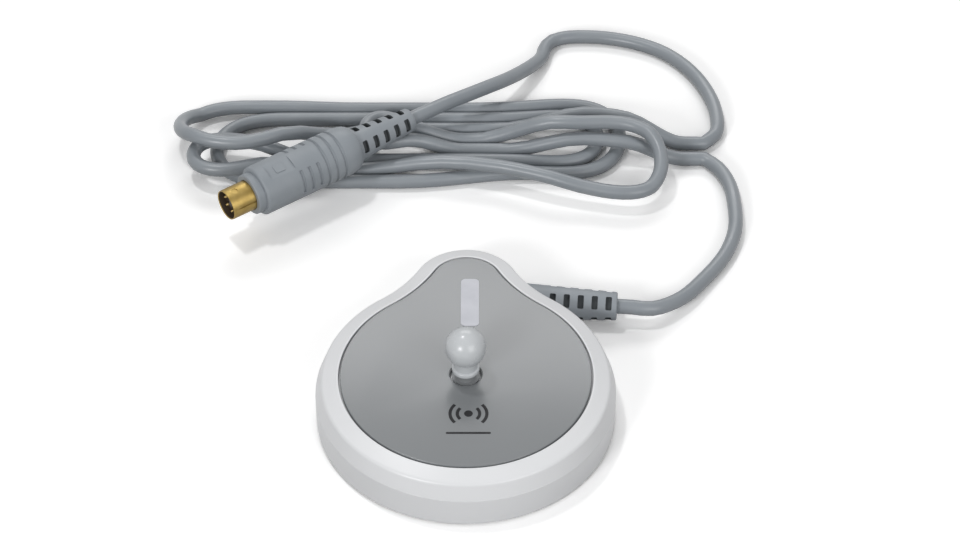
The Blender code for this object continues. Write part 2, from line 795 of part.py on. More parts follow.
def wire_end_x():
    return relief_x - (STUB_LENGTH + 2 * CLEARANCE) * math.cos(RELIEF_ANGLE) - WIRE_TURN


def cable_hold(plastic, steel, cable, wire_materials, relief):
    stub = disc(CABLE_RADIUS, stub_start - STUB_LENGTH, stub_start, ROUND_STEPS, along_x=True)
    add_object("cable_stub", stub, cable, relief)
    clamp = add_object(
        "cable_clamp",
        block(
            (-CLAMP_REACH - CLAMP_WIDTH / 2, -clamp_length / 2, 0),
            (-CLAMP_REACH + CLAMP_WIDTH / 2, clamp_length / 2, CLAMP_HEIGHT),
        ),
        plastic,
        relief,
    )
    groove = disc(CABLE_RADIUS + CLEARANCE, -STUB_LENGTH, 0, ROUND_STEPS, along_x=True)
    cut(clamp, "clamp_groove", groove, relief)
    holes = [
        moved(
            disc(clamp_screw_hole, -CLAMP_HEIGHT, 2 * CLAMP_HEIGHT, SMALL_STEPS),
            -CLAMP_REACH,
            side * CLAMP_HALF_PITCH,
        )
        for side in (-1, 1)
    ]
    cut(clamp, "clamp_holes", merged(holes), relief)
    seat = CLAMP_HEIGHT + CLEARANCE
    depth = seat + CLAMP_SCREW_DEPTH
    for number, side in enumerate((-1, 1), 1):
        shape = screw_shape(CLAMP_SCREW_RADIUS, depth, CLAMP_SCREW_HEAD_RADIUS, CLAMP_SCREW_HEAD)
        screw = add_object(f"clamp_screw_{number}", shape, steel, relief)
        screw.location = (-CLAMP_REACH, side * CLAMP_HALF_PITCH, seat)

    # The wires leave the stub side by side, turn through a quarter circle and run into the socket
    start_x = relief_x - (STUB_LENGTH + 2 * CLEARANCE) * math.cos(RELIEF_ANGLE)
    start_y = relief_y - (STUB_LENGTH + 2 * CLEARANCE) * math.sin(RELIEF_ANGLE)
    socket_y = board_flat - SOCKET_SETBACK + CLEARANCE
    socket_z = board_top + CLEARANCE + SOCKET_HEIGHT / 2
    for i in range(WIRES):
        radius = WIRE_TURN + (i - (WIRES - 1) / 2) * WIRE_PITCH
        points = []
        for step in range(WIRE_STEPS + 1):
            share = step / WIRE_STEPS
            angle = math.pi / 2 * (1 + share)
            height = RELIEF_HEIGHT + (socket_z - RELIEF_HEIGHT) * smooth(share)
            points.append(
                (start_x + radius * math.cos(angle), start_y - WIRE_TURN + radius * math.sin(angle), height)
            )
        points.append((points[-1][0], socket_y, socket_z))
        tube(f"wire_{i + 1}", points, WIRE_RADIUS, 1, wire_materials[i])


def plug(plastic, gold, dark, pin_metal):
    frame = add_empty("plug_frame", (PLUG_X, PLUG_Y, PLUG_HEIGHT), PLUG_ANGLE, PLUG_ROLL)

    tube_profile = [(SHELL_RADIUS, 0), (SHELL_RADIUS, shell_end), (shell_bore, shell_end), (shell_bore, 0)]
    shell = add_object("plug_shell", turned(tube_profile, FINE_STEPS, ring=True, along_x=True), gold, frame)
    dimple = moved(disc(DIMPLE_RADIUS, SHELL_RADIUS - DIMPLE_DEPTH, 2 * SHELL_RADIUS), DIMPLE_X, 0)
    cut(shell, "shell_dimple", turned_about_x(dimple, DIMPLE_TURN), frame)
    seam = block(
        (SEAM_START, -SEAM_WIDTH / 2, SHELL_RADIUS - SEAM_DEPTH),
        (shell_end + SHELL_SEAT, SEAM_WIDTH / 2, 2 * SHELL_RADIUS),
    )
    cut(shell, "shell_seam", turned_about_x(seam, SEAM_TURN), frame)

    insert = add_object(
        "plug_insert", disc(insert_radius, INSERT_SETBACK, shell_end, ROUND_STEPS, along_x=True), dark, frame
    )
    key = block(
        (KEY_SETBACK, -KEY_WIDTH / 2, -KEY_HEIGHT / 2),
        (shell_end - CLEARANCE, KEY_WIDTH / 2, KEY_HEIGHT / 2),
    )
    join(insert, "insert_key", key, frame)
    pin_end = shell_end - PIN_TIP
    pin_profile = [
        (0, PIN_SETBACK),
        (PIN_RADIUS / 2, PIN_SETBACK),
        (PIN_RADIUS, PIN_SETBACK + PIN_TIP),
        (PIN_RADIUS, pin_end),
        (0, pin_end),
    ]
    holes = []
    for i in range(PINS):
        angle = math.tau * i / PINS
        y = PIN_RING * math.cos(angle)
        z = PIN_RING * math.sin(angle)
        pin_shape = turned(pin_profile, SMALL_STEPS, along_x=True)
        pin = add_object(f"plug_pin_{i + 1}", pin_shape, pin_metal, frame)
        pin.location = (0, y, z)
        hole = disc(PIN_RADIUS + CLEARANCE, 0, pin_end + CLEARANCE, SMALL_STEPS, along_x=True)
        holes.append(moved(hole, 0, y, z))
    cut(insert, "pin_holes", merged(holes), frame)

    body = add_object("plug_body", turned(plug_body_profile(), FINE_STEPS, along_x=True), plastic, frame)
    cut(body, "side_grooves", side_grooves(), frame)
    panel_x = SHELL_EXPOSED + PANEL_START
    panel = block(
        (panel_x, -PANEL_WIDTH / 2, BODY_RADIUS - PANEL_DEPTH),
        (panel_x + PANEL_LENGTH, PANEL_WIDTH / 2, 2 * BODY_RADIUS),
    )
    cut(body, "top_panel", panel, frame)
    pad_x = panel_x + (PANEL_LENGTH - PAD_LENGTH) / 2
    panel_floor = BODY_RADIUS - PANEL_DEPTH
    pad = block(
        (pad_x, -PAD_WIDTH / 2, panel_floor - PANEL_DEPTH),
        (pad_x + PAD_LENGTH, PAD_WIDTH / 2, panel_floor + PAD_RISE),
    )
    join(body, "panel_pad", pad, frame)

    boot = add_object("plug_boot", turned(plug_boot_profile(), ROUND_STEPS, along_x=True), plastic, frame)
    slots = boot_slots(boot_end - PLUG_SLOT_SPACE, plug_boot_radius, PLUG_ROW_TURN)
    cut(boot, "plug_boot_slots", slots, frame)


def groove_at(x):
    edge = GROOVE_WIDTH / 2
    low = BODY_RADIUS - GROOVE_DEPTH
    return [(BODY_RADIUS, x - edge), (low, x - edge / 2), (low, x + edge / 2), (BODY_RADIUS, x + edge)]


def plug_body_profile():
    bore = SHELL_RADIUS + CLEARANCE
    bore_end = shell_end + CLEARANCE
    step = SHELL_EXPOSED + NECK_COLLAR
    profile = [
        (0, bore_end),
        (bore, bore_end),
        (bore, SHELL_EXPOSED),
        (NECK_COLLAR_RADIUS, SHELL_EXPOSED),
        (NECK_COLLAR_RADIUS, step),
        (BODY_RADIUS - BODY_EDGE, step),
        (BODY_RADIUS - BODY_EDGE / 3, step + BODY_EDGE / 3),
        (BODY_RADIUS, step + BODY_EDGE),
    ]
    for i in range(GROOVES):
        profile += groove_at(SHELL_EXPOSED + GROOVE_START + i * GROOVE_PITCH)
    dome = [
        (
            BODY_REAR_RADIUS + (BODY_RADIUS - BODY_REAR_RADIUS) * math.cos(a),
            body_end - DOME_LENGTH + DOME_LENGTH * math.sin(a),
        )
        for a in quarter(DOME_STEPS)
    ]
    socket = SPIGOT_RADIUS + CLEARANCE
    socket_end = body_end - SPIGOT_LENGTH
    return profile + dome + [(socket, body_end), (socket, socket_end), (0, socket_end)]


# Short grip grooves that follow the round on both flanks, ahead of the full rings
def side_grooves():
    shape = bmesh.new()
    low = BODY_RADIUS - GROOVE_DEPTH
    high = BODY_RADIUS + GROOVE_DEPTH
    edge = GROOVE_WIDTH / 2
    section = ((low, -edge / 2), (low, edge / 2), (high, 1.5 * edge), (high, -1.5 * edge))
    for i in range(SIDE_GROOVES):
        x = SHELL_EXPOSED + GROOVE_START - (i + 1) * GROOVE_PITCH
        for side in (-1, 1):
            rings = []
            for angle in np.linspace(SIDE_GROOVE_START, SIDE_GROOVE_END, SIDE_GROOVE_STEPS + 1):
                places = [
                    (x + along, side * radius * math.sin(angle), radius * math.cos(angle))
                    for radius, along in section
                ]
                rings.append([shape.verts.new(place) for place in places])
            for first, second in zip(rings, rings[1:]):
                for j in range(len(section)):
                    k = (j + 1) % len(section)
                    shape.faces.new((first[j], first[k], second[k], second[j]))
            shape.faces.new(rings[0])
            shape.faces.new(rings[-1])
    bmesh.ops.recalc_face_normals(shape, faces=shape.faces)
    return shape


def plug_boot_radius(x):
    share = (x - boot_start) / PLUG_BOOT_LENGTH
    return PLUG_BOOT_ROOT_RADIUS + (PLUG_BOOT_END_RADIUS - PLUG_BOOT_ROOT_RADIUS) * share


def plug_boot_profile():
    return [
        (0, boot_start - SPIGOT_LENGTH + CLEARANCE),
        (SPIGOT_RADIUS, boot_start - SPIGOT_LENGTH + CLEARANCE),
        (SPIGOT_RADIUS, boot_start),
        (PLUG_BOOT_ROOT_RADIUS, boot_start),
        (PLUG_BOOT_END_RADIUS, boot_end - BOOT_END_ROUND),
        (PLUG_BOOT_END_RADIUS - BOOT_END_ROUND, boot_end),
        (0, boot_end),
    ]


def smooth(share):
    share = min(max(share, 0.0), 1.0)
    return share * share * (3 - 2 * share)


# Share of the way between two limits, eased at both ends
def eased(value, limits):
    start, end = limits
    return smooth((value - start) / (end - start))


# Point of the hank's centre line at an angle: bends at whole half turns, waist between them
def hank_point(angle):
    last = len(HANK_REACH) - 1
    bend = min(round(angle / math.pi), last)
    run = min(max(math.ceil(angle / math.pi - 1e-9) - 1, 0), last - 1)
    out = abs(math.cos(angle))
    across = abs(math.sin(angle))
    x = HANK_REACH[bend] * out
    pitch = HANK_PITCH + (HANK_FAN_PITCH - HANK_PITCH) * (max(x, 0.0) / HANK_FAN_REACH) ** 2
    middle = (last - 1) / 2
    left_slot = HANK_LEFT_SLOTS[run]
    right_slot = HANK_RIGHT_SLOTS[run]
    slot = left_slot + (right_slot - left_slot) * eased(x, HANK_SWAP)
    if bend in (0, last):
        end_y = HANK_END_Y[0] if bend == 0 else HANK_END_Y[1]
        y = (middle - slot) * pitch
        y += (end_y - y) * eased(x, HANK_MEET)
        z = HANK_LOW + (HANK_OVER - HANK_LOW) * (eased(x, HANK_RISE) - eased(x, HANK_FALL))
    else:
        slots = HANK_RIGHT_SLOTS if bend % 2 == 0 else HANK_LEFT_SLOTS
        mean = (slots[bend - 1] + slots[bend]) / 2
        side = 1 if slots[run] < mean else -1
        opened = eased(out, HANK_OPEN[bend])
        wide = abs(slot - mean) * pitch * (1 + HANK_BULB[bend] * opened)
        turn = min(across / math.sqrt(wide / abs(HANK_REACH[bend])), math.pi / 2)
        y = (middle - mean) * pitch + HANK_SHIFT[bend] * opened + side * wide * math.sin(turn)
        height = HANK_BEND_HEIGHT[bend] - side * HANK_TILT[bend] * min(1.0, HANK_TILT_RATE * across)
        z = max(HANK_LOW, HANK_LOW + (height - HANK_LOW) * eased(out, HANK_CLIMB[bend]))
    # The run that crosses on top goes over in a long low hump
    if right_slot > left_slot:
        half = (HANK_SWAP[1] - HANK_SWAP[0]) / 2
        aside = abs(x - HANK_SWAP[0] - half) / half
        z += (HANK_OVER - HANK_LOW) * (1 - smooth(aside / HANK_HUMP))
    return (x, HANK_CENTRE_Y + y, z)


# Points crowd at the bends; the straight ends keep only their last one
def hank_points():
    runs = len(HANK_LEFT_SLOTS)
    turns = np.linspace(0, runs, runs * HANK_STEPS_PER_RUN + 1)
    angles = math.pi * turns - HANK_CROWDING / 2 * np.sin(math.tau * turns)
    points = np.array([hank_point(angle) for angle in angles])
    return np.concatenate([points[:1], points[3:-3], points[-1:]])


# Least gap between stretches of one tube that lie more than four diameters apart along it
def least_gap(points, radius):
    fine = [a + (b - a) * share for a, b in zip(points, points[1:]) for share in (0, 0.25, 0.5, 0.75)]
    fine = np.array(fine + [points[-1]])
    along = np.concatenate([[0], np.cumsum(np.linalg.norm(np.diff(fine, axis=0), axis=1))])
    apart = np.linalg.norm(fine[:, None] - fine[None], axis=2)
    apart[np.abs(along[:, None] - along[None]) < 8 * radius] = np.inf
    return apart.min() - 2 * radius


# Even points on a smooth curve through the route's own points
def route_points(route, step):
    knots = np.array([2 * np.array(route[0]) - route[1], *route, 2 * np.array(route[-1]) - route[-2]])
    times = np.concatenate([[0], np.cumsum(np.linalg.norm(np.diff(knots, axis=0), axis=1) ** 0.5)])
    fine = []
    for i in range(1, len(knots) - 2):
        t0, t1, t2, t3 = times[i - 1 : i + 3]
        p0, p1, p2, p3 = knots[i - 1 : i + 3]
        for t in np.linspace(t1, t2, 16, endpoint=False):
            a1 = (t1 - t) / (t1 - t0) * p0 + (t - t0) / (t1 - t0) * p1
            a2 = (t2 - t) / (t2 - t1) * p1 + (t - t1) / (t2 - t1) * p2
            a3 = (t3 - t) / (t3 - t2) * p2 + (t - t2) / (t3 - t2) * p3
            b1 = (t2 - t) / (t2 - t0) * a1 + (t - t0) / (t2 - t0) * a2
            b2 = (t3 - t) / (t3 - t1) * a2 + (t - t1) / (t3 - t1) * a3
            fine.append((t2 - t) / (t2 - t1) * b1 + (t - t1) / (t2 - t1) * b2)
    fine = np.array(fine + [knots[-2]])
    along = np.concatenate([[0], np.cumsum(np.linalg.norm(np.diff(fine, axis=0), axis=1))])
    count = max(2, round(along[-1] / step))
    marks = np.linspace(0, along[-1], count + 1)
    return np.stack([np.interp(marks, along, fine[:, axis]) for axis in range(3)], axis=1)


def tube(name, points, radius, resolution, material):
    curve = bpy.data.curves.new(name, "CURVE")
    curve.dimensions = "3D"
    curve.bevel_depth = radius
    curve.bevel_resolution = resolution
    curve.use_fill_caps = True
    spline = curve.splines.new("POLY")
    spline.points.add(len(points) - 1)
    for knot, point in zip(spline.points, points):
        knot.co = (*point, 1.0)
    curve.materials.append(material)
    piece = bpy.data.objects.new(name, curve)
    bpy.context.scene.collection.objects.link(piece)


# A route with its straight ends: it leaves each place along the direction given there
def free_cable(name, start, start_way, route, end, end_way, material):
    first = np.array(start) + CLEARANCE * np.array(start_way)
    last = np.array(end) + CLEARANCE * np.array(end_way)
    lead_in = first + 2 * CABLE_RADIUS * np.array(start_way)
    lead_out = last + CABLE_RADIUS * np.array(end_way)
    middle = route_points([lead_in, *route, lead_out], ROUTE_STEP)
    points = np.array([first, *middle, last])
    tube(name, points, CABLE_RADIUS, 3, material)
    length = np.linalg.norm(np.diff(points, axis=0), axis=1).sum()
    print(f"{name}: {len(points)} points, {length * 1000:.0f} mm")


def cable(material):
    hank = hank_points()
    gap = least_gap(hank, CABLE_RADIUS)
    length = np.linalg.norm(np.diff(hank, axis=0), axis=1).sum()
    print(f"cable_hank: {len(hank)} points, {length * 1000:.0f} mm, least gap {gap * 1000:.2f} mm")
    tube("cable_hank", hank, CABLE_RADIUS, 1, material)
    relief_way = (math.cos(RELIEF_ANGLE), math.sin(RELIEF_ANGLE), 0)
    relief_end = np.array((relief_x, relief_y, RELIEF_HEIGHT)) + RELIEF_LENGTH * np.array(relief_way)
    free_cable("cable_lead", relief_end, relief_way, LEAD_ROUTE, hank[-1], (1, 0, 0), material)
    plug_way = (math.cos(PLUG_ANGLE), math.sin(PLUG_ANGLE), 0)
    plug_end = np.array((PLUG_X, PLUG_Y, PLUG_HEIGHT)) + boot_end * np.array(plug_way)
    free_cable("cable_tail", plug_end, plug_way, TAIL_ROUTE, hank[0], (1, 0, 0), material)


def main():
    clear_scene()
    white = make_material("white_shell", (0.78, 0.79, 0.81), 0.38)
    grey = make_material("grey_plate", (0.34, 0.36, 0.38), 0.45)
    stud_grey = make_material("stud_plastic", (0.55, 0.58, 0.60), 0.35)
    cable_grey = make_material("cable_sheath", (0.27, 0.30, 0.33), 0.45)
    boot_grey = make_material("boot_rubber", (0.26, 0.29, 0.31), 0.55)
    gold = make_material("gold_plating", (0.63, 0.44, 0.16), 0.25, 1.0)
    dark = make_material("dark_plastic", (0.03, 0.025, 0.02), 0.5)
    steel = make_material("steel", (0.55, 0.55, 0.56), 0.35, 1.0)
    face = make_material("acoustic_face", (0.62, 0.64, 0.66), 0.4)
    rubber = make_material("seal_rubber", (0.05, 0.05, 0.05), 0.7)
    ceramic = make_material("crystal_silver", (0.66, 0.65, 0.62), 0.4, 0.6)
    carrier = make_material("carrier_plastic", (0.16, 0.16, 0.17), 0.6)
    foam = make_material("damping_foam", (0.08, 0.08, 0.09), 0.9)
    board = make_material("board_laminate", (0.03, 0.14, 0.06), 0.5)
    copper = make_material("coil_copper", (0.45, 0.20, 0.10), 0.4, 1.0)
    wire_colours = ((0.45, 0.03, 0.03), (0.55, 0.55, 0.52), (0.03, 0.09, 0.32), (0.02, 0.02, 0.02))
    wires = [make_material(f"wire_cover_{i}", c, 0.5) for i, c in enumerate(wire_colours, 1)]

    relief = add_empty("relief_frame", (relief_x, relief_y, RELIEF_HEIGHT), RELIEF_ANGLE)
    bottom_housing(white, relief)
    top_housing(white)
    housing_seal(rubber)
    label_plate(grey)
    belt_stud(stud_grey, steel)
    face_plate(face)
    crystals(carrier, ceramic, foam)
    circuit_board(board, steel, dark, copper)
    strain_relief(boot_grey, relief)
    cable_hold(dark, steel, cable_grey, wires, relief)
    plug(boot_grey, gold, dark, gold)
    cable(cable_grey)


main()
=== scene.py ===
import math

import bmesh
import bpy
import numpy as np
from mathutils import Matrix


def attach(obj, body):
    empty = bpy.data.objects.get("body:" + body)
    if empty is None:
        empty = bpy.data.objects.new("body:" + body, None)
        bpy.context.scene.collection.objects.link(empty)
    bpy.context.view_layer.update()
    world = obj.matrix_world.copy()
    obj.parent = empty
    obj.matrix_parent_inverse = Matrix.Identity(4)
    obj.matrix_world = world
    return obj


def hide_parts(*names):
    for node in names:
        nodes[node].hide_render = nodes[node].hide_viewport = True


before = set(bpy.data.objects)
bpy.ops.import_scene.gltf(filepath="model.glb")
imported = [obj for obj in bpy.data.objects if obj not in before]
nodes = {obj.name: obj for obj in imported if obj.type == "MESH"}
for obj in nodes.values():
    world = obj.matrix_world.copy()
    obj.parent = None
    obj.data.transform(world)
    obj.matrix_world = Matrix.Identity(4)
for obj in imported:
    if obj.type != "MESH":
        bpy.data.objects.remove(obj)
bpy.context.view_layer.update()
scene = bpy.context.scene
scene.view_settings.view_transform = "Standard"
print("frame:", len(nodes), "nodes")

# camera, metres
view = {
    "eye": (0.0040, -0.5535, 0.5723),
    "pitch": math.radians(47.0),  # from straight down
    "lens": 104.59,
    "sensor": 36.0,
}
cameraData = bpy.data.cameras.new("photoCamera")
cameraData.lens = view["lens"]
cameraData.sensor_width = view["sensor"]
cameraData.clip_start = 0.01
camera = bpy.data.objects.new("photoCamera", cameraData)
camera.location = view["eye"]
camera.rotation_euler = (view["pitch"], 0, 0)
scene.collection.objects.link(camera)
scene.camera = camera
print("camera: lens", view["lens"])


# finishes: a cloudy tint, a cloudy roughness and a fine grain, all in object space
cloudSpan = (0.3, 0.7)  # most of the noise lies between these
cloudDetail = {"tint": 4, "rough": 3, "grain": 2}


def cloud(tree, place, scale, detail):
    noise = tree.nodes.new("ShaderNodeTexNoise")
    noise.inputs["Scale"].default_value = scale
    noise.inputs["Detail"].default_value = detail
    tree.links.new(place.outputs["Object"], noise.inputs["Vector"])
    return noise.outputs["Fac"]


def makeFinish(name, look):
    finish = bpy.data.materials.new(name)
    finish.use_nodes = True
    tree = finish.node_tree
    shader = tree.nodes["Principled BSDF"]
    shader.inputs["Metallic"].default_value = look.get("metal", 0.0)
    shader.inputs["Specular IOR Level"].default_value = look.get("gloss", 0.5)
    shader.inputs["Coat Weight"].default_value = look.get("coat", 0.0)
    shader.inputs["Coat Roughness"].default_value = look.get("coatRough", 0.2)
    place = tree.nodes.new("ShaderNodeTexCoord")
    tint = tree.nodes.new("ShaderNodeValToRGB")
    for stop, position, shade in zip(tint.color_ramp.elements, cloudSpan, ("deep", "light")):
        stop.position = position
        stop.color = (*look[shade], 1)
    tree.links.new(cloud(tree, place, look["tintScale"], cloudDetail["tint"]), tint.inputs["Fac"])
    tree.links.new(tint.outputs["Color"], shader.inputs["Base Color"])
    shine = tree.nodes.new("ShaderNodeMapRange")
    shine.inputs["From Min"].default_value, shine.inputs["From Max"].default_value = cloudSpan
    shine.inputs["To Min"].default_value, shine.inputs["To Max"].default_value = look["rough"]
    tree.links.new(cloud(tree, place, look["roughScale"], cloudDetail["rough"]), shine.inputs["Value"])
    tree.links.new(shine.outputs["Result"], shader.inputs["Roughness"])
    grain = tree.nodes.new("ShaderNodeBump")
    grain.inputs["Strength"].default_value = look["grain"]
    grain.inputs["Distance"].default_value = look["grainDepth"]
    tree.links.new(cloud(tree, place, look["grainScale"], cloudDetail["grain"]), grain.inputs["Height"])
    tree.links.new(grain.outputs["Normal"], shader.inputs["Normal"])
    return finish


# shapes
weldGap = 1e-7


def spinShape(profile, steps, alongX=False):  # (radius, height) points round Z or X
    shape = bmesh.new()
    points = [shape.verts.new((radius, 0, height)) for radius, height in profile]
    for first, second in zip(points, points[1:]):
        shape.edges.new((first, second))
    if profile[0][0] > weldGap:
        shape.edges.new((points[-1], points[0]))
    bmesh.ops.spin(
        shape,
        geom=list(shape.verts) + list(shape.edges),
        cent=(0, 0, 0),
        axis=(0, 0, 1),
        angle=math.tau,
        steps=steps,
        use_merge=True,
    )
    bmesh.ops.remove_doubles(shape, verts=shape.verts, dist=weldGap)
    if alongX:
        bmesh.ops.rotate(shape, verts=shape.verts, matrix=Matrix.Rotation(math.pi / 2, 3, "Y"))
    return shape


def arcPoints(x, y, radius, start, end, steps):
    angles = np.linspace(start, end, steps + 1)
    return [(x + radius * math.cos(a), y + radius * math.sin(a)) for a in angles]


drop = {  # outline of the grey plate: main circle, nose circle, waist fillets
    "main": 0.0354,
    "nose": 0.0101,
    "noseReach": 0.0128,
    "waist": 0.0438,
    "mainSteps": 128,
    "waistSteps": 20,
    "noseSteps": 44,
}


def dropOutline(offset):
    centre = drop["main"] + drop["noseReach"] - drop["nose"]
    mainSpan = drop["main"] + drop["waist"]
    noseSpan = drop["nose"] + drop["waist"]
    waistY = (mainSpan**2 - noseSpan**2 + centre**2) / (2 * centre)
    waistX = math.sqrt(mainSpan**2 - waistY**2)
    low = math.atan2(waistY, waistX)
    high = math.atan2(waistY - centre, waistX)
    waist = drop["waist"] - offset
    main = drop["main"] + offset
    outline = arcPoints(0, 0, main, math.pi - low, math.tau + low, drop["mainSteps"])[:-1]
    outline += arcPoints(waistX, waistY, waist, low + math.pi, high + math.pi, drop["waistSteps"])[:-1]
    outline += arcPoints(0, centre, drop["nose"] + offset, high, math.pi - high, drop["noseSteps"])[:-1]
    outline += arcPoints(-waistX, waistY, waist, -high, -low, drop["waistSteps"])[:-1]
    return outline


def dropLoft(profile):  # (offset, height) points, closed by flat ends
    shape = bmesh.new()
    loops = []
    for offset, height in profile:
        loops.append([shape.verts.new((x, y, height)) for x, y in dropOutline(offset)])
    count = len(loops[0])
    for low, high in zip(loops, loops[1:]):
        for i in range(count):
            j = (i + 1) % count
            shape.faces.new((low[i], low[j], high[j], high[i]))
    shape.faces.new(loops[0])
    shape.faces.new(loops[-1])
    return shape


def roundedBar(low, high, radius, steps=4):  # upright bar with round corners
    shape = bmesh.new()
    corners = ((high[0], high[1], 0), (low[0], high[1], 1), (low[0], low[1], 2), (high[0], low[1], 3))
    ring = []
    for x, y, turn in corners:
        inX = x - radius if turn in (0, 3) else x + radius
        inY = y - radius if turn in (0, 1) else y + radius
        start = turn * math.pi / 2
        ring += arcPoints(inX, inY, radius, start, start + math.pi / 2, steps)
    bottom = [shape.verts.new((x, y, low[2])) for x, y in ring]
    top = [shape.verts.new((x, y, high[2])) for x, y in ring]
    for i in range(len(ring)):
        j = (i + 1) % len(ring)
        shape.faces.new((bottom[i], bottom[j], top[j], top[i]))
    shape.faces.new(bottom[::-1])
    shape.faces.new(top)
    return shape


def gather(shapes):
    whole = bmesh.new()
    for shape in shapes:
        mesh = bpy.data.meshes.new("part")
        shape.to_mesh(mesh)
        shape.free()
        whole.from_mesh(mesh)
        bpy.data.meshes.remove(mesh)
    return whole


def placeShape(shape, matrix):
    bmesh.ops.transform(shape, matrix=matrix, verts=shape.verts)
    return shape


def makePiece(name, shape, finish, cuts=(), joins=(), sharp=35, cutFinish=None):
    bmesh.ops.recalc_face_normals(shape, faces=shape.faces)
    mesh = bpy.data.meshes.new(name)
    shape.to_mesh(mesh)
    shape.free()
    mesh.materials.append(finish)
    if cutFinish:
        mesh.materials.append(cutFinish)
    piece = bpy.data.objects.new(name, mesh)
    scene.collection.objects.link(piece)
    helpers = []
    for others, operation in ((cuts, "DIFFERENCE"), (joins, "UNION")):
        for other in others:
            bmesh.ops.recalc_face_normals(other, faces=other.faces)
            if cutFinish and operation == "DIFFERENCE":
                for face in other.faces:
                    face.material_index = 1
            otherMesh = bpy.data.meshes.new("helper")
            other.to_mesh(otherMesh)
            other.free()
            for used in mesh.materials:
                otherMesh.materials.append(used)
            helper = bpy.data.objects.new("helper", otherMesh)
            scene.collection.objects.link(helper)
            helpers.append(helper)
            step = piece.modifiers.new("step", "BOOLEAN")
            step.operation = operation
            step.solver = "EXACT"
            step.object = helper
    if helpers:
        bpy.context.view_layer.update()
        seen = piece.evaluated_get(bpy.context.evaluated_depsgraph_get())
        baked = bpy.data.meshes.new_from_object(seen)
        piece.modifiers.clear()
        piece.data = baked
        for helper in helpers:
            bpy.data.objects.remove(helper, do_unlink=True)
    piece.data.shade_smooth()
    piece.data.set_sharp_from_angle(angle=math.radians(sharp))
    return piece


def fitPiece(piece, slot, *replaced):
    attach(piece, "root")
    if replaced:
        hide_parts(*replaced)
    return piece


# the cable: one line from the head's boot through the hank to the plug's boot
cable = {
    "radius": 0.00223,
    "exit": (0.0098, 0.0411, 0.0058),
    "exitAngle": math.radians(-4.5),
    "bootLength": 0.0346,
    "centreY": 0.1155,
    "pitch": 0.0050,
    "fanPitch": 0.00788,
    "fanReach": 0.0600,
    "low": 0.0023,
    "over": 0.0076,
    "leftSlots": (2, 0, 7, 1, 5, 6, 3, 4),
    "rightSlots": (2, 0, 6, 1, 5, 7, 3, 4),
    "swap": (-0.0200, 0.0240),
    "hump": 1.9,
    "reach": (0.0720, -0.0900, 0.0480, -0.0785, 0.0410, -0.0850, 0.0600, -0.0320, 0.0720),
    "shift": (0, -0.0095, 0, 0, 0, -0.0007, -0.0043, 0.0015, 0),
    "bulb": (0, 1.94, 0, 0, 0, 1.9, 0, 1.8, 0),
    "open": (
        (0, 1),
        (0.3, 0.8),
        (0.4, 0.8),
        (0.4, 0.8),
        (0.4, 0.8),
        (0.62, 0.9),
        (0.1, 0.6),
        (0.35, 0.98),
        (0, 1),
    ),
    "bendHeight": (0.0023, 0.0080, 0.0023, 0.0023, 0.0023, 0.0075, 0.0096, 0.0073, 0.0023),
    "tilt": (0, 0.0050, 0, 0, 0, 0, -0.0030, 0, 0),
    "tiltRate": 3,
    "climb": (
        (0, 1),
        (0.4, 0.66),
        (0.4, 0.85),
        (0.4, 0.85),
        (0.4, 0.85),
        (0.55, 0.78),
        (0.05, 0.5),
        (0.05, 0.62),
        (0, 1),
    ),
    "endY": (0.0007, -0.0067),
    "meet": (0.0360, 0.0700),
    "rise": (0.0120, 0.0360),
    "fall": (0.0495, 0.0670),
    "stepsPerRun": 48,
    "crowding": 0.4,
    "endTrim": 7,  # points that make way for a straight end
    "lead": (
        (0.0545, 0.0380, 0.0052),
        (0.0633, 0.0440, 0.0035),
        (0.0712, 0.0540, 0.0025),
        (0.0778, 0.0644, 0.0023),
        (0.0816, 0.0756, 0.0023),
        (0.0822, 0.0868, 0.0023),
        (0.0812, 0.0970, 0.0023),
        (0.0782, 0.1045, 0.0023),
    ),
    "tail": (
        (-0.0060, 0.1230, 0.0134),
        (0.0050, 0.1325, 0.0112),
        (0.0137, 0.1420, 0.0080),
        (0.0206, 0.1520, 0.0047),
        (0.0241, 0.1590, 0.0027),
        (0.0251, 0.1638, 0.0023),
        (0.0271, 0.1676, 0.0023),
        (0.0317, 0.1698, 0.0023),
        (0.0395, 0.1703, 0.0023),
        (0.0475, 0.1693, 0.0023),
        (0.0565, 0.1664, 0.0023),
        (0.0645, 0.1615, 0.0023),
        (0.0720, 0.1528, 0.0023),
        (0.0771, 0.1417, 0.0023),
        (0.0793, 0.1304, 0.0023),
        (0.0785, 0.1209, 0.0023),
    ),
    "routeStep": 0.0030,
    "fineSteps": 16,
    "roundSteps": 6,
    "look": {
        "deep": (0.230, 0.253, 0.276),
        "light": (0.264, 0.287, 0.310),
        "tintScale": 60,
        "rough": (0.29, 0.39),
        "roughScale": 140,
        "grain": 0.12,
        "grainDepth": 0.0002,
        "grainScale": 1400,
    },
}
plug = {
    "tip": (-0.0724, 0.0735, 0.0142),
    "angle": math.radians(36.4),
    "roll": math.radians(16),
    "bootStart": 0.0465,
    "bootEnd": 0.0679,
}


def smooth(share):
    share = min(max(share, 0.0), 1.0)
    return share * share * (3 - 2 * share)


def eased(value, limits):  # share of the way between two limits
    return smooth((value - limits[0]) / (limits[1] - limits[0]))


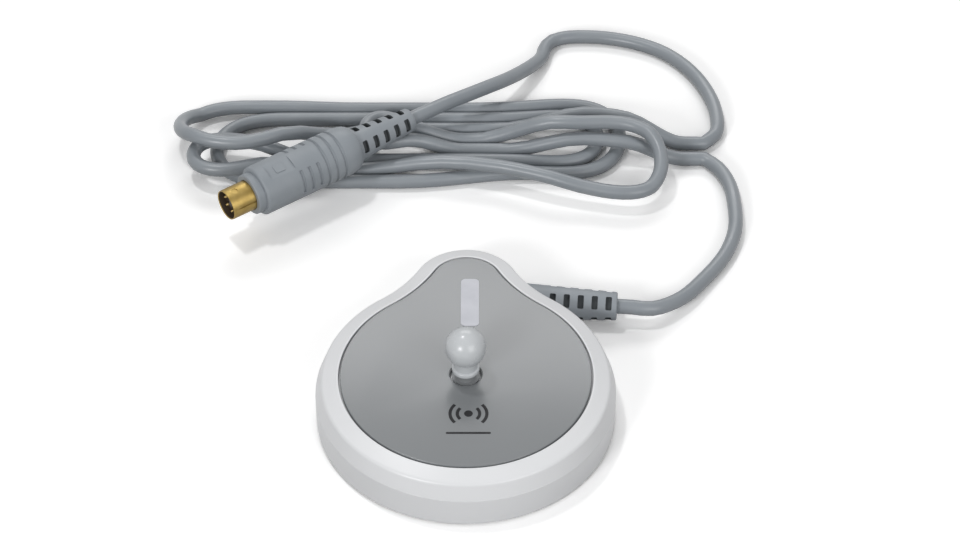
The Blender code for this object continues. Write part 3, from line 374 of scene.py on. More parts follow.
def hankPoint(angle):  # bends at whole half turns, waist between them
    last = len(cable["reach"]) - 1
    bend = min(round(angle / math.pi), last)
    run = min(max(math.ceil(angle / math.pi - 1e-9) - 1, 0), last - 1)
    out = abs(math.cos(angle))
    across = abs(math.sin(angle))
    x = cable["reach"][bend] * out
    pitch = cable["pitch"] + (cable["fanPitch"] - cable["pitch"]) * (max(x, 0) / cable["fanReach"]) ** 2
    middle = (last - 1) / 2
    left = cable["leftSlots"][run]
    right = cable["rightSlots"][run]
    slot = left + (right - left) * eased(x, cable["swap"])
    low = cable["low"]
    lift = cable["over"] - low
    if bend in (0, last):
        endY = cable["endY"][0 if bend == 0 else 1]
        y = (middle - slot) * pitch
        y += (endY - y) * eased(x, cable["meet"])
        z = low + lift * (eased(x, cable["rise"]) - eased(x, cable["fall"]))
    else:
        slots = cable["rightSlots"] if bend % 2 == 0 else cable["leftSlots"]
        mean = (slots[bend - 1] + slots[bend]) / 2
        side = 1 if slots[run] < mean else -1
        opened = eased(out, cable["open"][bend])
        wide = abs(slot - mean) * pitch * (1 + cable["bulb"][bend] * opened)
        turn = min(across / math.sqrt(wide / abs(cable["reach"][bend])), math.pi / 2)
        y = (middle - mean) * pitch + cable["shift"][bend] * opened + side * wide * math.sin(turn)
        height = cable["bendHeight"][bend] - side * cable["tilt"][bend] * min(1, cable["tiltRate"] * across)
        z = max(low, low + (height - low) * eased(out, cable["climb"][bend]))
    if right > left:  # the run that crosses on top
        half = (cable["swap"][1] - cable["swap"][0]) / 2
        z += lift * (1 - smooth(abs(x - cable["swap"][0] - half) / half / cable["hump"]))
    return (x, cable["centreY"] + y, z)


def hankLine():  # points crowd at the bends, not at the straight ends
    runs = len(cable["leftSlots"])
    turns = np.linspace(0, runs, runs * cable["stepsPerRun"] + 1)
    angles = math.pi * turns - cable["crowding"] / 2 * np.sin(math.tau * turns)
    points = np.array([hankPoint(angle) for angle in angles])
    trim = cable["endTrim"]
    return np.concatenate([points[:1], points[trim:-trim], points[-1:]])


def routeLine(route, step):  # even points on a smooth curve through the route
    knots = np.array([2 * np.array(route[0]) - route[1], *route, 2 * np.array(route[-1]) - route[-2]])
    times = np.concatenate([[0], np.cumsum(np.linalg.norm(np.diff(knots, axis=0), axis=1) ** 0.5)])
    fine = []
    for i in range(1, len(knots) - 2):
        t0, t1, t2, t3 = times[i - 1 : i + 3]
        p0, p1, p2, p3 = knots[i - 1 : i + 3]
        for t in np.linspace(t1, t2, cable["fineSteps"], endpoint=False):
            a1 = (t1 - t) / (t1 - t0) * p0 + (t - t0) / (t1 - t0) * p1
            a2 = (t2 - t) / (t2 - t1) * p1 + (t - t1) / (t2 - t1) * p2
            a3 = (t3 - t) / (t3 - t2) * p2 + (t - t2) / (t3 - t2) * p3
            b1 = (t2 - t) / (t2 - t0) * a1 + (t - t0) / (t2 - t0) * a2
            b2 = (t3 - t) / (t3 - t1) * a2 + (t - t1) / (t3 - t1) * a3
            fine.append((t2 - t) / (t2 - t1) * b1 + (t - t1) / (t2 - t1) * b2)
    fine = np.array(fine + [knots[-2]])
    along = np.concatenate([[0], np.cumsum(np.linalg.norm(np.diff(fine, axis=0), axis=1))])
    marks = np.linspace(0, along[-1], max(2, round(along[-1] / step)) + 1)
    return np.stack([np.interp(marks, along, fine[:, axis]) for axis in range(3)], axis=1)


def makeCable():
    radius = cable["radius"]
    hank = hankLine()
    turn = cable["exitAngle"]
    way = np.array((math.cos(turn), math.sin(turn), 0))
    start = np.array(cable["exit"]) + cable["bootLength"] * way
    plugWay = np.array((math.cos(plug["angle"]), math.sin(plug["angle"]), 0))
    end = np.array(plug["tip"]) + plug["bootEnd"] * plugWay
    along = np.array((radius, 0, 0))
    step = cable["routeStep"]
    lead = routeLine([start + 2 * radius * way, *cable["lead"], hank[-1] + along], step)
    tail = routeLine([end + 2 * radius * plugWay, *cable["tail"], hank[0] + along], step)
    line = np.array([start, *lead, *hank[::-1], *tail[::-1], end])
    curve = bpy.data.curves.new("cableCord", "CURVE")
    curve.dimensions = "3D"
    curve.bevel_depth = radius
    curve.bevel_resolution = cable["roundSteps"]
    curve.use_fill_caps = True
    spline = curve.splines.new("POLY")
    spline.points.add(len(line) - 1)
    for knot, point in zip(spline.points, line):
        knot.co = (*point, 1)
    spline.use_smooth = True
    curve.materials.append(makeFinish("cableSheath", cable["look"]))
    cord = bpy.data.objects.new("cableCord", curve)
    scene.collection.objects.link(cord)
    fitPiece(cord, "cable_sheath", "cable_lead", "cable_hank", "cable_tail")
    length = np.linalg.norm(np.diff(line, axis=0), axis=1).sum()
    print("cable:", len(line), "points,", round(length, 3), "m")
    return cord, start, length


cord, cordExit, cordLength = makeCable()

# stage and light: the floor shows white and keeps the shadow, but throws less light back
stage = {"size": 3.0, "seen": 1.20, "bounce": 0.20, "fill": 0.29}
floorShape = bmesh.new()
bmesh.ops.create_grid(floorShape, x_segments=1, y_segments=1, size=stage["size"] / 2)
floorMesh = bpy.data.meshes.new("floor")
floorShape.to_mesh(floorMesh)
floorShape.free()
floor = bpy.data.objects.new("floor", floorMesh)
scene.collection.objects.link(floor)


def backdropRays(tree):  # one for camera, glossy and transmission rays
    ray = tree.nodes.new("ShaderNodeLightPath")
    total = ray.outputs["Is Camera Ray"]
    for other in ("Is Glossy Ray", "Is Transmission Ray"):
        either = tree.nodes.new("ShaderNodeMath")
        either.operation = "MAXIMUM"
        tree.links.new(total, either.inputs[0])
        tree.links.new(ray.outputs[other], either.inputs[1])
        total = either.outputs[0]
    return total


floorFinish = bpy.data.materials.new("floorPaper")
floorFinish.use_nodes = True
floorTree = floorFinish.node_tree
floorTree.nodes.remove(floorTree.nodes["Principled BSDF"])
paper = floorTree.nodes.new("ShaderNodeBsdfDiffuse")
paperLevel = floorTree.nodes.new("ShaderNodeMapRange")
paperLevel.inputs["To Min"].default_value = stage["bounce"]
paperLevel.inputs["To Max"].default_value = stage["seen"]
floorTree.links.new(backdropRays(floorTree), paperLevel.inputs["Value"])
floorTree.links.new(paperLevel.outputs["Result"], paper.inputs["Color"])
floorTree.links.new(paper.outputs["BSDF"], floorTree.nodes["Material Output"].inputs["Surface"])
floorMesh.materials.append(floorFinish)

world = bpy.data.worlds.new("studio")
world.use_nodes = True
scene.world = world
worldTree = world.node_tree
sky = worldTree.nodes["Background"]
sky.inputs["Color"].default_value = (1, 1, 1, 1)
skyLevel = worldTree.nodes.new("ShaderNodeMapRange")
skyLevel.inputs["To Min"].default_value = stage["fill"]
skyLevel.inputs["To Max"].default_value = 1.0
worldTree.links.new(backdropRays(worldTree), skyLevel.inputs["Value"])
worldTree.links.new(skyLevel.outputs["Result"], sky.inputs["Strength"])

lamps = {  # size is width and height
    "leftBox": {"place": (-0.413, -0.59, 0.41), "size": (0.22, 0.22), "power": 2.85},
    "rightBox": {"place": (0.448, -0.57, 0.41), "size": (0.50, 0.50), "power": 2.55},
    "highLamp": {"place": (-0.24, 0.24, 0.94), "size": (0.10, 0.10), "power": 1.8},
    "rearPanel": {"place": (0.0, 0.933, 0.779), "size": (0.80, 0.33), "power": 3.4},
}
lampAim = np.array((0.0, 0.05, 0.0))
for name, lamp in lamps.items():
    lampData = bpy.data.lights.new(name, "AREA")
    lampData.shape = "RECTANGLE"
    lampData.size, lampData.size_y = lamp["size"]
    lampData.energy = lamp["power"]
    lampObject = bpy.data.objects.new(name, lampData)
    lampObject.location = lamp["place"]
    direction = lampAim - np.array(lamp["place"])
    flat = math.hypot(direction[0], direction[1])
    tilt = math.atan2(flat, -direction[2])
    turn = math.atan2(direction[1], direction[0]) - math.pi / 2
    lampObject.rotation_euler = (tilt, 0, turn)
    scene.collection.objects.link(lampObject)
print("stage:", len(lamps), "lamps")

# head shells
shell = {
    "rim": 0.0071,
    "lip": 0.0005,
    "top": 0.0162,
    "deck": 0.0147,
    "parting": 0.00983,
    "baseTop": 0.00979,
    "slope": math.radians(18.3),
    "inset": 0.00173,
    "round": 0.0015,
    "shoulderSteps": 15,
    "edge": 0.0003,
    "lipEdge": ((0.08, 0.70), (0.30, 0.47), (0.65, 0.36), (1.2, 0.41)),  # across and down, in edges
    "lipRun": 3,  # edges to where the slope starts
    "closeLoops": (0.0006, 0.0002, 0.00006),  # above the parting line, to keep its edge crisp
    "undercut": 0.0001,
    "foot": 0.0004,
    "footHeight": 0.0005,
    "footSteps": 7,
    "baseEdge": ((0, 0.0005), (0, 0.00012), (0.00004, 0.00003), (0.00012, 0)),  # in and down
    "floorTop": 0.0029,
    "window": 0.0308,
    "windowLow": -0.01,
    "windowSteps": 96,
    "sharp": 50,
    "look": {
        "deep": (0.690, 0.698, 0.712),
        "light": (0.720, 0.728, 0.742),
        "tintScale": 18,
        "rough": (0.34, 0.44),
        "roughScale": 90,
        "grain": 0.05,
        "grainDepth": 0.0001,
        "grainScale": 2600,
    },
}


def shoulderProfile():  # gentle slope, small round, steep side
    slope = shell["slope"]
    corner = shell["rim"] - shell["inset"]
    cornerZ = shell["top"] - (corner - shell["lip"]) * math.tan(slope)
    side = math.atan2(cornerZ - shell["parting"], shell["inset"])
    reach = shell["round"] * math.tan((side - slope) / 2)
    startX = corner - reach * math.cos(slope)
    startZ = cornerZ + reach * math.sin(slope)
    points = []
    for turn in np.linspace(slope, side, shell["shoulderSteps"]):
        x = startX + shell["round"] * (math.sin(turn) - math.sin(slope))
        points.append((x, startZ - shell["round"] * (math.cos(slope) - math.cos(turn))))
    return points


whitePlastic = makeFinish("whiteShell", shell["look"])
edge = shell["edge"]
lip = shell["lip"]
topProfile = [(lip, shell["deck"]), (lip, shell["top"] - edge)]
topProfile += [(lip + across * edge, shell["top"] - down * edge) for across, down in shell["lipEdge"]]
lipRun = shell["lipRun"] * edge
topProfile += [(lip + lipRun, shell["top"] - lipRun * math.tan(shell["slope"]))]
shoulder = shoulderProfile()
topProfile += shoulder
for above in shell["closeLoops"]:
    share = above / (shoulder[-1][1] - shell["parting"])
    offset = shell["rim"] + (shoulder[-1][0] - shell["rim"]) * share
    topProfile.append((offset, shell["parting"] + above))
topProfile += [(shell["rim"] - shell["undercut"], shell["parting"])]
topShell = makePiece("topShell", dropLoft(topProfile), whitePlastic, sharp=shell["sharp"])
fitPiece(topShell, "white_shell", "top_housing")

baseProfile = []
for a in np.linspace(0, math.pi / 2, shell["footSteps"]):
    offset = shell["rim"] - shell["foot"] + shell["foot"] * math.sin(a)
    baseProfile.append((offset, shell["footHeight"] + shell["foot"] * (1 - math.cos(a))))
baseProfile += [(shell["rim"], shell["footHeight"] + 2 * shell["foot"])]
baseProfile += [(shell["rim"] - across, shell["baseTop"] - down) for across, down in shell["baseEdge"]]
windowProfile = [
    (0, shell["windowLow"]),
    (shell["window"], shell["windowLow"]),
    (shell["window"], shell["floorTop"]),
    (0, shell["floorTop"]),
]
window = spinShape(windowProfile, shell["windowSteps"])
baseShell = makePiece("baseShell", dropLoft(baseProfile), whitePlastic, cuts=[window], sharp=shell["sharp"])
fitPiece(baseShell, "white_shell", "bottom_housing")
print("shells: done")

# grey plate, with a bare label and a plain wave mark
plate = {
    "low": 0.0150,
    "bevel": 0.00025,
    "bevelStart": 0.3,  # radians
    "bevelSteps": 5,
    "hole": 0.0045,
    "holeBevel": 0.0003,
    "holeSpan": (0.012, 0.02),
    "holeSteps": 64,
    "sharp": 40,
    "look": {
        "deep": (0.186, 0.197, 0.205),
        "light": (0.200, 0.211, 0.219),
        "tintScale": 14,
        "rough": (0.36, 0.44),
        "roughScale": 60,
        "gloss": 0.0,
        "coat": 1.0,
        "coatRough": 0.24,
        "grain": 0.03,
        "grainDepth": 0.0001,
        "grainScale": 3200,
    },
}
bevel = plate["bevel"]
plateProfile = [(0, plate["low"]), (0, shell["top"] - bevel)]
plateProfile += [
    (-bevel * (1 - math.cos(a)), shell["top"] - bevel * (1 - math.sin(a)))
    for a in np.linspace(plate["bevelStart"], math.pi / 2, plate["bevelSteps"])
]
holeLow, holeHigh = plate["holeSpan"]
holeCut = [
    (0, holeHigh),
    (plate["hole"] + plate["holeBevel"], holeHigh),
    (plate["hole"] + plate["holeBevel"], shell["top"]),
    (plate["hole"], shell["top"] - plate["holeBevel"]),
    (plate["hole"], holeLow),
    (0, holeLow),
]
greyPlastic = makeFinish("greyPlate", plate["look"])
plateShape = dropLoft(plateProfile)
stemHole = spinShape(holeCut, plate["holeSteps"])
labelPlate = makePiece("greyPlate", plateShape, greyPlastic, cuts=[stemHole], sharp=plate["sharp"])
fitPiece(labelPlate, "grey_plate", "label_plate")

label = {
    "low": (-0.0015, 0.0193),
    "high": (0.0037, 0.0389),
    "thick": 0.00012,
    "corner": 0.0013,
    "look": {
        "deep": (0.44, 0.45, 0.495),
        "light": (0.49, 0.50, 0.545),
        "tintScale": 240,
        "rough": (0.30, 0.42),
        "roughScale": 300,
        "grain": 0.05,
        "grainDepth": 0.00005,
        "grainScale": 2600,
    },
}
labelLow = (*label["low"], shell["top"])
labelHigh = (*label["high"], shell["top"] + label["thick"])
labelShape = roundedBar(labelLow, labelHigh, label["corner"])
bareLabel = makePiece("bareLabel", labelShape, makeFinish("labelFilm", label["look"]))
fitPiece(bareLabel, "white_shell")

mark = {
    "middle": (0.0008, -0.0155),
    "dot": 0.0012,
    "arcs": (0.0031, 0.0051),
    "line": 0.0009,
    "spread": math.radians(42),
    "rule": (0.0124, 0.0007, -0.0229),  # length, width, y
    "ruleRound": 2.1,  # width over corner radius
    "thick": 0.00005,
    "dotSteps": 40,
    "arcSteps": 24,
    "look": {
        "deep": (0.018, 0.018, 0.020),
        "light": (0.026, 0.026, 0.028),
        "tintScale": 400,
        "rough": (0.40, 0.52),
        "roughScale": 500,
        "gloss": 0.15,
        "grain": 0.03,
        "grainDepth": 0.00003,
        "grainScale": 3000,
    },
}


def flatArc(middle, inside, outside, start, end, low, high):
    shape = bmesh.new()
    corners = ((inside, low), (outside, low), (outside, high), (inside, high))
    rings = []
    for a in np.linspace(start, end, mark["arcSteps"] + 1):
        spots = [(middle[0] + r * math.cos(a), middle[1] + r * math.sin(a), z) for r, z in corners]
        rings.append([shape.verts.new(spot) for spot in spots])
    for first, second in zip(rings, rings[1:]):
        for j in range(4):
            k = (j + 1) % 4
            shape.faces.new((first[j], first[k], second[k], second[j]))
    shape.faces.new(rings[0])
    shape.faces.new(rings[-1])
    return shape


inkLow = shell["top"] - mark["thick"]
inkHigh = shell["top"] + mark["thick"]
dotProfile = [(0, inkHigh), (mark["dot"], inkHigh), (mark["dot"], inkLow), (0, inkLow)]
dot = spinShape(dotProfile, mark["dotSteps"])
markShapes = [placeShape(dot, Matrix.Translation((*mark["middle"], 0)))]
for radius in mark["arcs"]:
    for turn in (0, math.pi):
        limits = (turn - mark["spread"], turn + mark["spread"])
        half = mark["line"] / 2
        markShapes.append(flatArc(mark["middle"], radius - half, radius + half, *limits, inkLow, inkHigh))
ruleLong, ruleWide, ruleY = mark["rule"]
markShapes.append(
    roundedBar(
        (mark["middle"][0] - ruleLong / 2, ruleY - ruleWide / 2, inkLow),
        (mark["middle"][0] + ruleLong / 2, ruleY + ruleWide / 2, inkHigh),
        ruleWide / mark["ruleRound"],
    )
)
waveMark = makePiece("waveMark", gather(markShapes), makeFinish("darkInk", mark["look"]))
fitPiece(waveMark, "dark_plastic")
print("plate: done")

# belt stud
stud = {
    "ball": 0.00575,
    "ballHeight": 0.0106,
    "neck": 0.0034,
    "bead": 0.0039,
    "beadLow": 0.0017,
    "beadHigh": 0.0032,
    "beadRound": 0.00045,
    "shank": 0.0028,
    "seat": 0.0039,
    "seatLow": 0.0150,
    "seatHigh": 0.0156,
    "ballSteps": 40,
    "flare": 0.0003,  # neck to ball
    "neckBlend": ((0.0001, 0.0003), (0, 0.0008)),  # out and below the ball
    "beadGap": 0.0001,
    "beadStart": 0.25,  # radians
    "beadSteps": 6,
    "shankRound": 0.0002,
    "footMargin": 0.0001,
    "turnSteps": 72,
    "sharp": 50,
    "look": {
        "deep": (0.50, 0.520, 0.537),
        "light": (0.54, 0.560, 0.577),
        "tintScale": 70,
        "rough": (0.22, 0.30),
        "roughScale": 200,
        "grain": 0.04,
        "grainDepth": 0.0001,
        "grainScale": 3000,
    },
    "footShadeLook": {  # painted shade below the bead: darker and duller
        "deep": (0.205, 0.215, 0.223),
        "light": (0.235, 0.245, 0.253),
        "tintScale": 120,
        "rough": (0.48, 0.60),
        "roughScale": 300,
        "grain": 0.05,
        "grainDepth": 0.0001,
        "grainScale": 3000,
    },
}
ballZ = shell["top"] + stud["ballHeight"]
neckAngle = math.asin((stud["neck"] + stud["flare"]) / stud["ball"])
studProfile = [
    (stud["ball"] * math.sin(a), ballZ + stud["ball"] * math.cos(a))
    for a in np.linspace(0, math.pi - neckAngle, stud["ballSteps"])
]
ballFoot = studProfile[-1][1]
beadHigh = shell["top"] + stud["beadHigh"]
beadLow = shell["top"] + stud["beadLow"]
rounding = stud["beadRound"]
beadIn = stud["bead"] - rounding
studProfile += [(stud["neck"] + out, ballFoot - down) for out, down in stud["neckBlend"]]
studProfile += [(stud["neck"], beadHigh + stud["beadGap"])]
studProfile += [
    (beadIn + rounding * math.sin(a), beadHigh - rounding + rounding * math.cos(a))
    for a in np.linspace(stud["beadStart"], math.pi / 2, stud["beadSteps"])
]
studProfile += [
    (beadIn + rounding * math.cos(a), beadLow + rounding - rounding * math.sin(a))
    for a in np.linspace(0, math.pi / 2, stud["beadSteps"])
]
studProfile += [(stud["shank"] + stud["shankRound"], beadLow), (stud["shank"], beadLow - stud["shankRound"])]
studProfile += [(stud["shank"], stud["seatHigh"])]
studProfile += [(stud["seat"], stud["seatHigh"]), (stud["seat"], stud["seatLow"]), (0, stud["seatLow"])]
studPlastic = makeFinish("studPlastic", stud["look"])
beltStud = makePiece("beltStud", spinShape(studProfile, stud["turnSteps"]), studPlastic, sharp=stud["sharp"])
# painted shade: a dark finish for the shank under the bead
beltStud.data.materials.append(makeFinish("studFootShade", stud["footShadeLook"]))
margin = stud["footMargin"]
for face in beltStud.data.polygons:  # painted shade on the shank and what the bead overhangs
    if stud["seatHigh"] - margin < face.center.z < beadLow + margin:
        face.material_index = 1
fitPiece(beltStud, "stud_plastic", "belt_stud")
print("stud: done")


# moulded boots: a taper with rows of slots, with painted shade on the slots' walls and floors
boots = {
    "rows": 4,
    "inRow": 5,
    "pitch": 0.0041,
    "width": 0.0018,
    "length": 0.0040,
    "depth": 0.0016,
    "corner": 0.0004,
    "cutReach": 0.008,
    "endRound": 0.0005,
    "endStart": 0.3,  # radians
    "endSteps": 5,
    "lengthSteps": 8,
    "turnSteps": 64,
    "sharp": 38,
    "look": {
        "deep": (0.236, 0.260, 0.284),
        "light": (0.269, 0.293, 0.317),
        "tintScale": 80,
        "rough": (0.46, 0.60),
        "roughScale": 220,
        "grain": 0.12,
        "grainDepth": 0.0002,
        "grainScale": 1800,
    },
    # painted shade: near black on the slots' walls and floors, where shade falls in the slots
    "slotShadeLook": {
        "deep": (0.080, 0.089, 0.095),
        "light": (0.105, 0.115, 0.121),
        "tintScale": 300,
        "rough": (0.70, 0.85),
        "roughScale": 300,
        "gloss": 0.2,
        "grain": 0.12,
        "grainDepth": 0.0002,
        "grainScale": 1800,
    },
}
bootRubber = makeFinish("bootRubber", boots["look"])
# the slot finish is painted shade for the faces that the slot cutters leave
slotPaintedShade = makeFinish("slotPaintedShade", boots["slotShadeLook"])


def slotCutters(last, radiusAt, rowTurn):
    cutters = []
    wide = boots["width"] / 2
    long = boots["length"] / 2
    for row in range(boots["rows"]):
        turn = Matrix.Rotation(rowTurn + math.tau * row / boots["rows"], 4, "X")
        for i in range(boots["inRow"]):
            x = last - i * boots["pitch"]
            bottom = radiusAt(x) - boots["depth"]
            top = bottom + boots["cutReach"]
            bar = roundedBar((x - wide, -long, bottom), (x + wide, long, top), boots["corner"])
            cutters.append(placeShape(bar, turn))
    return gather(cutters)


headBoot = {
    "start": 0.0020,
    "root": 0.0057,
    "end": 0.0042,
    "lastSlot": 0.0321,
    "rowTurn": math.radians(37),
    "sideGap": 0.0001,  # to the shell's wall
    "sideSpan": (-0.02, 0.03),
}


def headBootRadius(x):
    return headBoot["root"] + (headBoot["end"] - headBoot["root"]) * x / cable["bootLength"]


def bootProfile(start, end, radiusAt):
    roundEnd = boots["endRound"]
    profile = [(0, start), (radiusAt(start), start)]
    profile += [(radiusAt(x), x) for x in np.linspace(start, end - roundEnd, boots["lengthSteps"])[1:]]
    tipRadius = radiusAt(end) - roundEnd
    profile += [
        (tipRadius + roundEnd * math.cos(a), end - roundEnd + roundEnd * math.sin(a))
        for a in np.linspace(boots["endStart"], math.pi / 2, boots["endSteps"])
    ]
    return profile + [(0, end)]


reliefPlace = Matrix.Translation(cable["exit"]) @ Matrix.Rotation(cable["exitAngle"], 4, "Z")
headProfile = bootProfile(headBoot["start"], cable["bootLength"], headBootRadius)
bootShape = spinShape(headProfile, boots["turnSteps"], alongX=True)
slots = slotCutters(headBoot["lastSlot"], headBootRadius, headBoot["rowTurn"])
headSide = dropLoft([(shell["rim"] + headBoot["sideGap"], height) for height in headBoot["sideSpan"]])
headSleeve = makePiece(
    "headSleeve",
    placeShape(bootShape, reliefPlace),
    bootRubber,
    cuts=[placeShape(slots, reliefPlace), headSide],
    sharp=boots["sharp"],
    cutFinish=slotPaintedShade,
)
fitPiece(headSleeve, "boot_rubber", "strain_relief")

# plug
plugTurn = Matrix.Rotation(plug["angle"], 4, "Z")
plugPlace = Matrix.Translation(plug["tip"]) @ plugTurn @ Matrix.Rotation(plug["roll"], 4, "X")
plugBoot = {"root": 0.0053, "end": 0.0037, "lastSlot": 0.0646, "rowTurn": math.radians(52)}


def plugBootRadius(x):
    share = (x - plug["bootStart"]) / (plug["bootEnd"] - plug["bootStart"])
    return plugBoot["root"] + (plugBoot["end"] - plugBoot["root"]) * share


sleeveProfile = bootProfile(plug["bootStart"], plug["bootEnd"], plugBootRadius)
sleeveShape = spinShape(sleeveProfile, boots["turnSteps"], alongX=True)
slots = slotCutters(plugBoot["lastSlot"], plugBootRadius, plugBoot["rowTurn"])
plugSleeve = makePiece(
    "plugSleeve",
    placeShape(sleeveShape, plugPlace),
    bootRubber,
    cuts=[placeShape(slots, plugPlace)],
    sharp=boots["sharp"],
    cutFinish=slotPaintedShade,
)
fitPiece(plugSleeve, "boot_rubber", "plug_boot")

grip = {
    "bore": 0.0049,
    "boreEnd": 0.0119,
    "front": 0.0080,
    "collar": 0.0064,
    "collarEdge": 0.0003,
    "step": 0.0105,
    "radius": 0.0078,
    "edge": 0.0009,
    "edgeSteps": 7,
    "end": 0.0463,
    "rear": 0.0056,
    "dome": 0.0054,
    "domeSteps": 14,
    "turnSteps": 72,
    "rings": (0.03270, 0.03574, 0.03878),
    "sides": (0.02966, 0.02662, 0.02358),
    "sideSpan": (math.radians(28), math.radians(88)),  # from the panel's middle
    "grooveWidth": 0.0011,
    "grooveDepth": 0.0006,
    "groovePower": 0.7,  # under 1 for a flatter floor
    "grooveSteps": 9,
    "sideShare": 0.96,
    "sideSteps": 25,
    "sideReach": 0.001,
    "panelStart": 0.0137,
    "panelLength": 0.0088,
    "panelWidth": 0.0057,
    "panelDepth": 0.0005,
    "panelCorner": 0.0006,
    "panelReach": 0.004,
    "padLength": 0.0034,
    "padWidth": 0.0030,
    "padRise": 0.0002,
    "padCorner": 0.0005,
}


def grooveRadius(share):  # from one edge, -1, to the other, 1
    return grip["radius"] - grip["grooveDepth"] * math.cos(share * math.pi / 2) ** grip["groovePower"]


def gripProfile():
    radius = grip["radius"]
    collarEdge = grip["collarEdge"]
    profile = [(0, grip["boreEnd"]), (grip["bore"], grip["boreEnd"]), (grip["bore"], grip["front"])]
    profile += [(grip["collar"] - collarEdge, grip["front"]), (grip["collar"], grip["front"] + collarEdge)]
    profile += [(grip["collar"], grip["step"])]
    rounding = grip["edge"]
    profile += [
        (radius - rounding + rounding * math.sin(a), grip["step"] + rounding - rounding * math.cos(a))
        for a in np.linspace(0, math.pi / 2, grip["edgeSteps"])
    ]
    half = grip["grooveWidth"] / 2
    for centre in grip["rings"]:
        for share in np.linspace(-1, 1, grip["grooveSteps"]):
            profile.append((grooveRadius(share), centre + share * half))
    profile += [
        (
            grip["rear"] + (radius - grip["rear"]) * math.cos(a),
            grip["end"] - grip["dome"] + grip["dome"] * math.sin(a),
        )
        for a in np.linspace(0, math.pi / 2, grip["domeSteps"])
    ]
    return profile + [(0, grip["end"])]


def sideGroove(centre, side):  # a cutter that follows the round
    shape = bmesh.new()
    half = grip["grooveWidth"] / 2
    shares = np.linspace(-grip["sideShare"], grip["sideShare"], grip["grooveSteps"])
    section = [(grooveRadius(share), share * half) for share in shares]
    section += [(grip["radius"] + grip["sideReach"], edgeAt) for edgeAt in (half, -half)]
    rings = []
    for a in np.linspace(*grip["sideSpan"], grip["sideSteps"]):
        spots = [(centre + along, side * r * math.sin(a), r * math.cos(a)) for r, along in section]
        rings.append([shape.verts.new(spot) for spot in spots])
    for first, second in zip(rings, rings[1:]):
        for j in range(len(section)):
            k = (j + 1) % len(section)
            shape.faces.new((first[j], first[k], second[k], second[j]))
    shape.faces.new(rings[0])
    shape.faces.new(rings[-1])
    return shape


gripCuts = [sideGroove(centre, side) for centre in grip["sides"] for side in (-1, 1)]
panelWide = grip["panelWidth"] / 2
gripCuts.append(
    roundedBar(
        (grip["panelStart"], -panelWide, grip["radius"] - grip["panelDepth"]),
        (grip["panelStart"] + grip["panelLength"], panelWide, grip["radius"] + grip["panelReach"]),
        grip["panelCorner"],
    )
)
padMiddle = grip["panelStart"] + grip["panelLength"] / 2
pad = roundedBar(
    (padMiddle - grip["padLength"] / 2, -grip["padWidth"] / 2, grip["radius"] - 2 * grip["panelDepth"]),
    (
        padMiddle + grip["padLength"] / 2,
        grip["padWidth"] / 2,
        grip["radius"] - grip["panelDepth"] + grip["padRise"],
    ),
    grip["padCorner"],
)
plugGrip = makePiece(
    "plugGrip",
    placeShape(spinShape(gripProfile(), grip["turnSteps"], alongX=True), plugPlace),
    bootRubber,
    cuts=[placeShape(gather(gripCuts), plugPlace)],
    joins=[placeShape(pad, plugPlace)],
    sharp=boots["sharp"],
)
fitPiece(plugGrip, "boot_rubber", "plug_body")

can = {
    "radius": 0.00475,
    "wall": 0.0004,
    "end": 0.0110,
    "rimEdge": ((1, 0.0002), (0.7, 0.00003), (0.5, 0), (0.2, 0.00005), (0, 0.0003)),  # walls in, along
    "turnSteps": 72,
    "sharp": 40,
    "cutReach": 0.008,
    "dimple": 0.0010,
    "dimpleSteps": 32,
    "dimpleDepth": 0.00018,
    "dimpleAt": 0.0029,
    "dimpleTurn": math.radians(-8),
    "seamStart": 0.0018,
    "seamWidth": 0.0004,
    "seamDepth": 0.0002,
    "seamCorner": 0.0001,
    "seamPast": 0.002,
    "seamTurn": math.radians(63),
    "insideShare": 0.9,  # of the wall
    "look": {
        "metal": 1.0,
        "deep": (0.245, 0.170, 0.052),
        "light": (0.335, 0.242, 0.085),
        "tintScale": 260,
        "rough": (0.36, 0.48),
        "roughScale": 500,
        "grain": 0.06,
        "grainDepth": 0.0001,
        "grainScale": 1800,
    },
    "insideShadeLook": {  # painted shade on the shell's inner wall, dull and dark
        "deep": (0.030, 0.019, 0.010),
        "light": (0.046, 0.030, 0.016),
        "tintScale": 300,
        "rough": (0.55, 0.70),
        "roughScale": 400,
        "gloss": 0.25,
        "grain": 0.06,
        "grainDepth": 0.0001,
        "grainScale": 1800,
    },
}
gold = makeFinish("goldPlating", can["look"])
wall = can["wall"]
canProfile = [(can["radius"] - share * wall, along) for share, along in can["rimEdge"]]
canProfile += [(can["radius"], can["end"]), (can["radius"] - wall, can["end"])]
dimpleLow = can["radius"] - can["dimpleDepth"]
dimpleProfile = [(0, dimpleLow), (can["dimple"], dimpleLow)]
dimpleProfile += [(can["dimple"], can["cutReach"]), (0, can["cutReach"])]
dimpleMove = Matrix.Translation((can["dimpleAt"], 0, 0))
dimple = spinShape(dimpleProfile, can["dimpleSteps"])
dimple = placeShape(dimple, Matrix.Rotation(can["dimpleTurn"], 4, "X") @ dimpleMove)
seam = roundedBar(
    (can["seamStart"], -can["seamWidth"] / 2, can["radius"] - can["seamDepth"]),
    (can["end"] + can["seamPast"], can["seamWidth"] / 2, can["cutReach"]),
    can["seamCorner"],
)
seam = placeShape(seam, Matrix.Rotation(can["seamTurn"], 4, "X"))
plugCan = makePiece(
    "plugCan",
    placeShape(spinShape(canProfile, can["turnSteps"], alongX=True), plugPlace),
    gold,
    cuts=[placeShape(gather([dimple, seam]), plugPlace)],
    sharp=can["sharp"],
)
plugCan.data.materials.append(makeFinish("canInsideShade", can["insideShadeLook"]))
toAxis = plugPlace.inverted()
# painted shade: the shell's inner wall is near black, where shade falls inside it
for face in plugCan.data.polygons:
    spot = toAxis @ face.center
    if math.hypot(spot.y, spot.z) < can["radius"] - can["insideShare"] * wall:
        face.material_index = 1
fitPiece(plugCan, "gold_plating", "plug_shell")
print("plug: done")

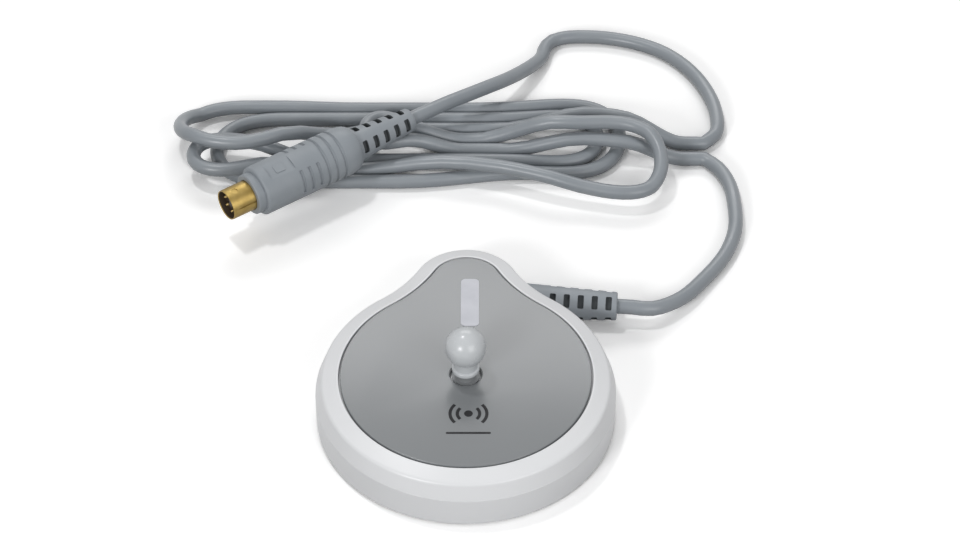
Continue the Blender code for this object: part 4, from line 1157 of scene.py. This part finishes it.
# finishes of the pieces that keep their CAD shape: name starts, colour, roughness, metal
steelStarts = ("stud_screw", "stud_washer", "board_screw_", "clamp_screw_", "shield_can")
crystalNames = tuple(f"crystal_{i}" for i in range(1, 8))
inner = {
    "goldPin": (("plug_pin_",), (0.66, 0.48, 0.20), 0.25, 1.0),
    "darkPlastic": (("plug_insert", "board_socket", "cable_clamp"), (0.034, 0.022, 0.014), 0.45, 0.0),
    "steel": (steelStarts, (0.55, 0.55, 0.56), 0.35, 1.0),
    "acousticFace": (("face_plate",), (0.60, 0.62, 0.64), 0.38, 0.0),
    "sealRubber": (("housing_seal",), (0.05, 0.05, 0.05), 0.7, 0.0),
    "crystalSilver": (crystalNames, (0.66, 0.65, 0.62), 0.4, 0.6),
    "carrierPlastic": (("crystal_carrier",), (0.16, 0.16, 0.17), 0.6, 0.0),
    "dampingFoam": (("damping_pad",), (0.08, 0.08, 0.09), 0.9, 0.0),
    "boardLaminate": (("circuit_board",), (0.03, 0.14, 0.06), 0.5, 0.0),
    "coilCopper": (("tuning_coil",), (0.45, 0.20, 0.10), 0.4, 1.0),
    "cableStub": (("cable_stub",), (0.27, 0.30, 0.33), 0.45, 0.0),
    "wireRed": (("wire_1",), (0.45, 0.03, 0.03), 0.5, 0.0),
    "wireWhite": (("wire_2",), (0.55, 0.55, 0.52), 0.5, 0.0),
    "wireBlue": (("wire_3",), (0.03, 0.09, 0.32), 0.5, 0.0),
    "wireBlack": (("wire_4",), (0.02, 0.02, 0.02), 0.5, 0.0),
}
innerSpread = {"deep": 0.92, "light": 1.06, "smoother": 0.05, "rougher": 0.06}
for name, (starts, colour, rough, metal) in inner.items():
    look = {
        "metal": metal,
        "deep": tuple(innerSpread["deep"] * c for c in colour),
        "light": tuple(innerSpread["light"] * c for c in colour),
        "tintScale": 120,
        "rough": (rough - innerSpread["smoother"], rough + innerSpread["rougher"]),
        "roughScale": 240,
        "grain": 0.08,
        "grainDepth": 0.0001,
        "grainScale": 2000,
    }
    finish = makeFinish(name, look)
    for nodeName, node in nodes.items():
        if nodeName.startswith(starts):
            node.data.materials.clear()
            node.data.materials.append(finish)
print("inner pieces: done")
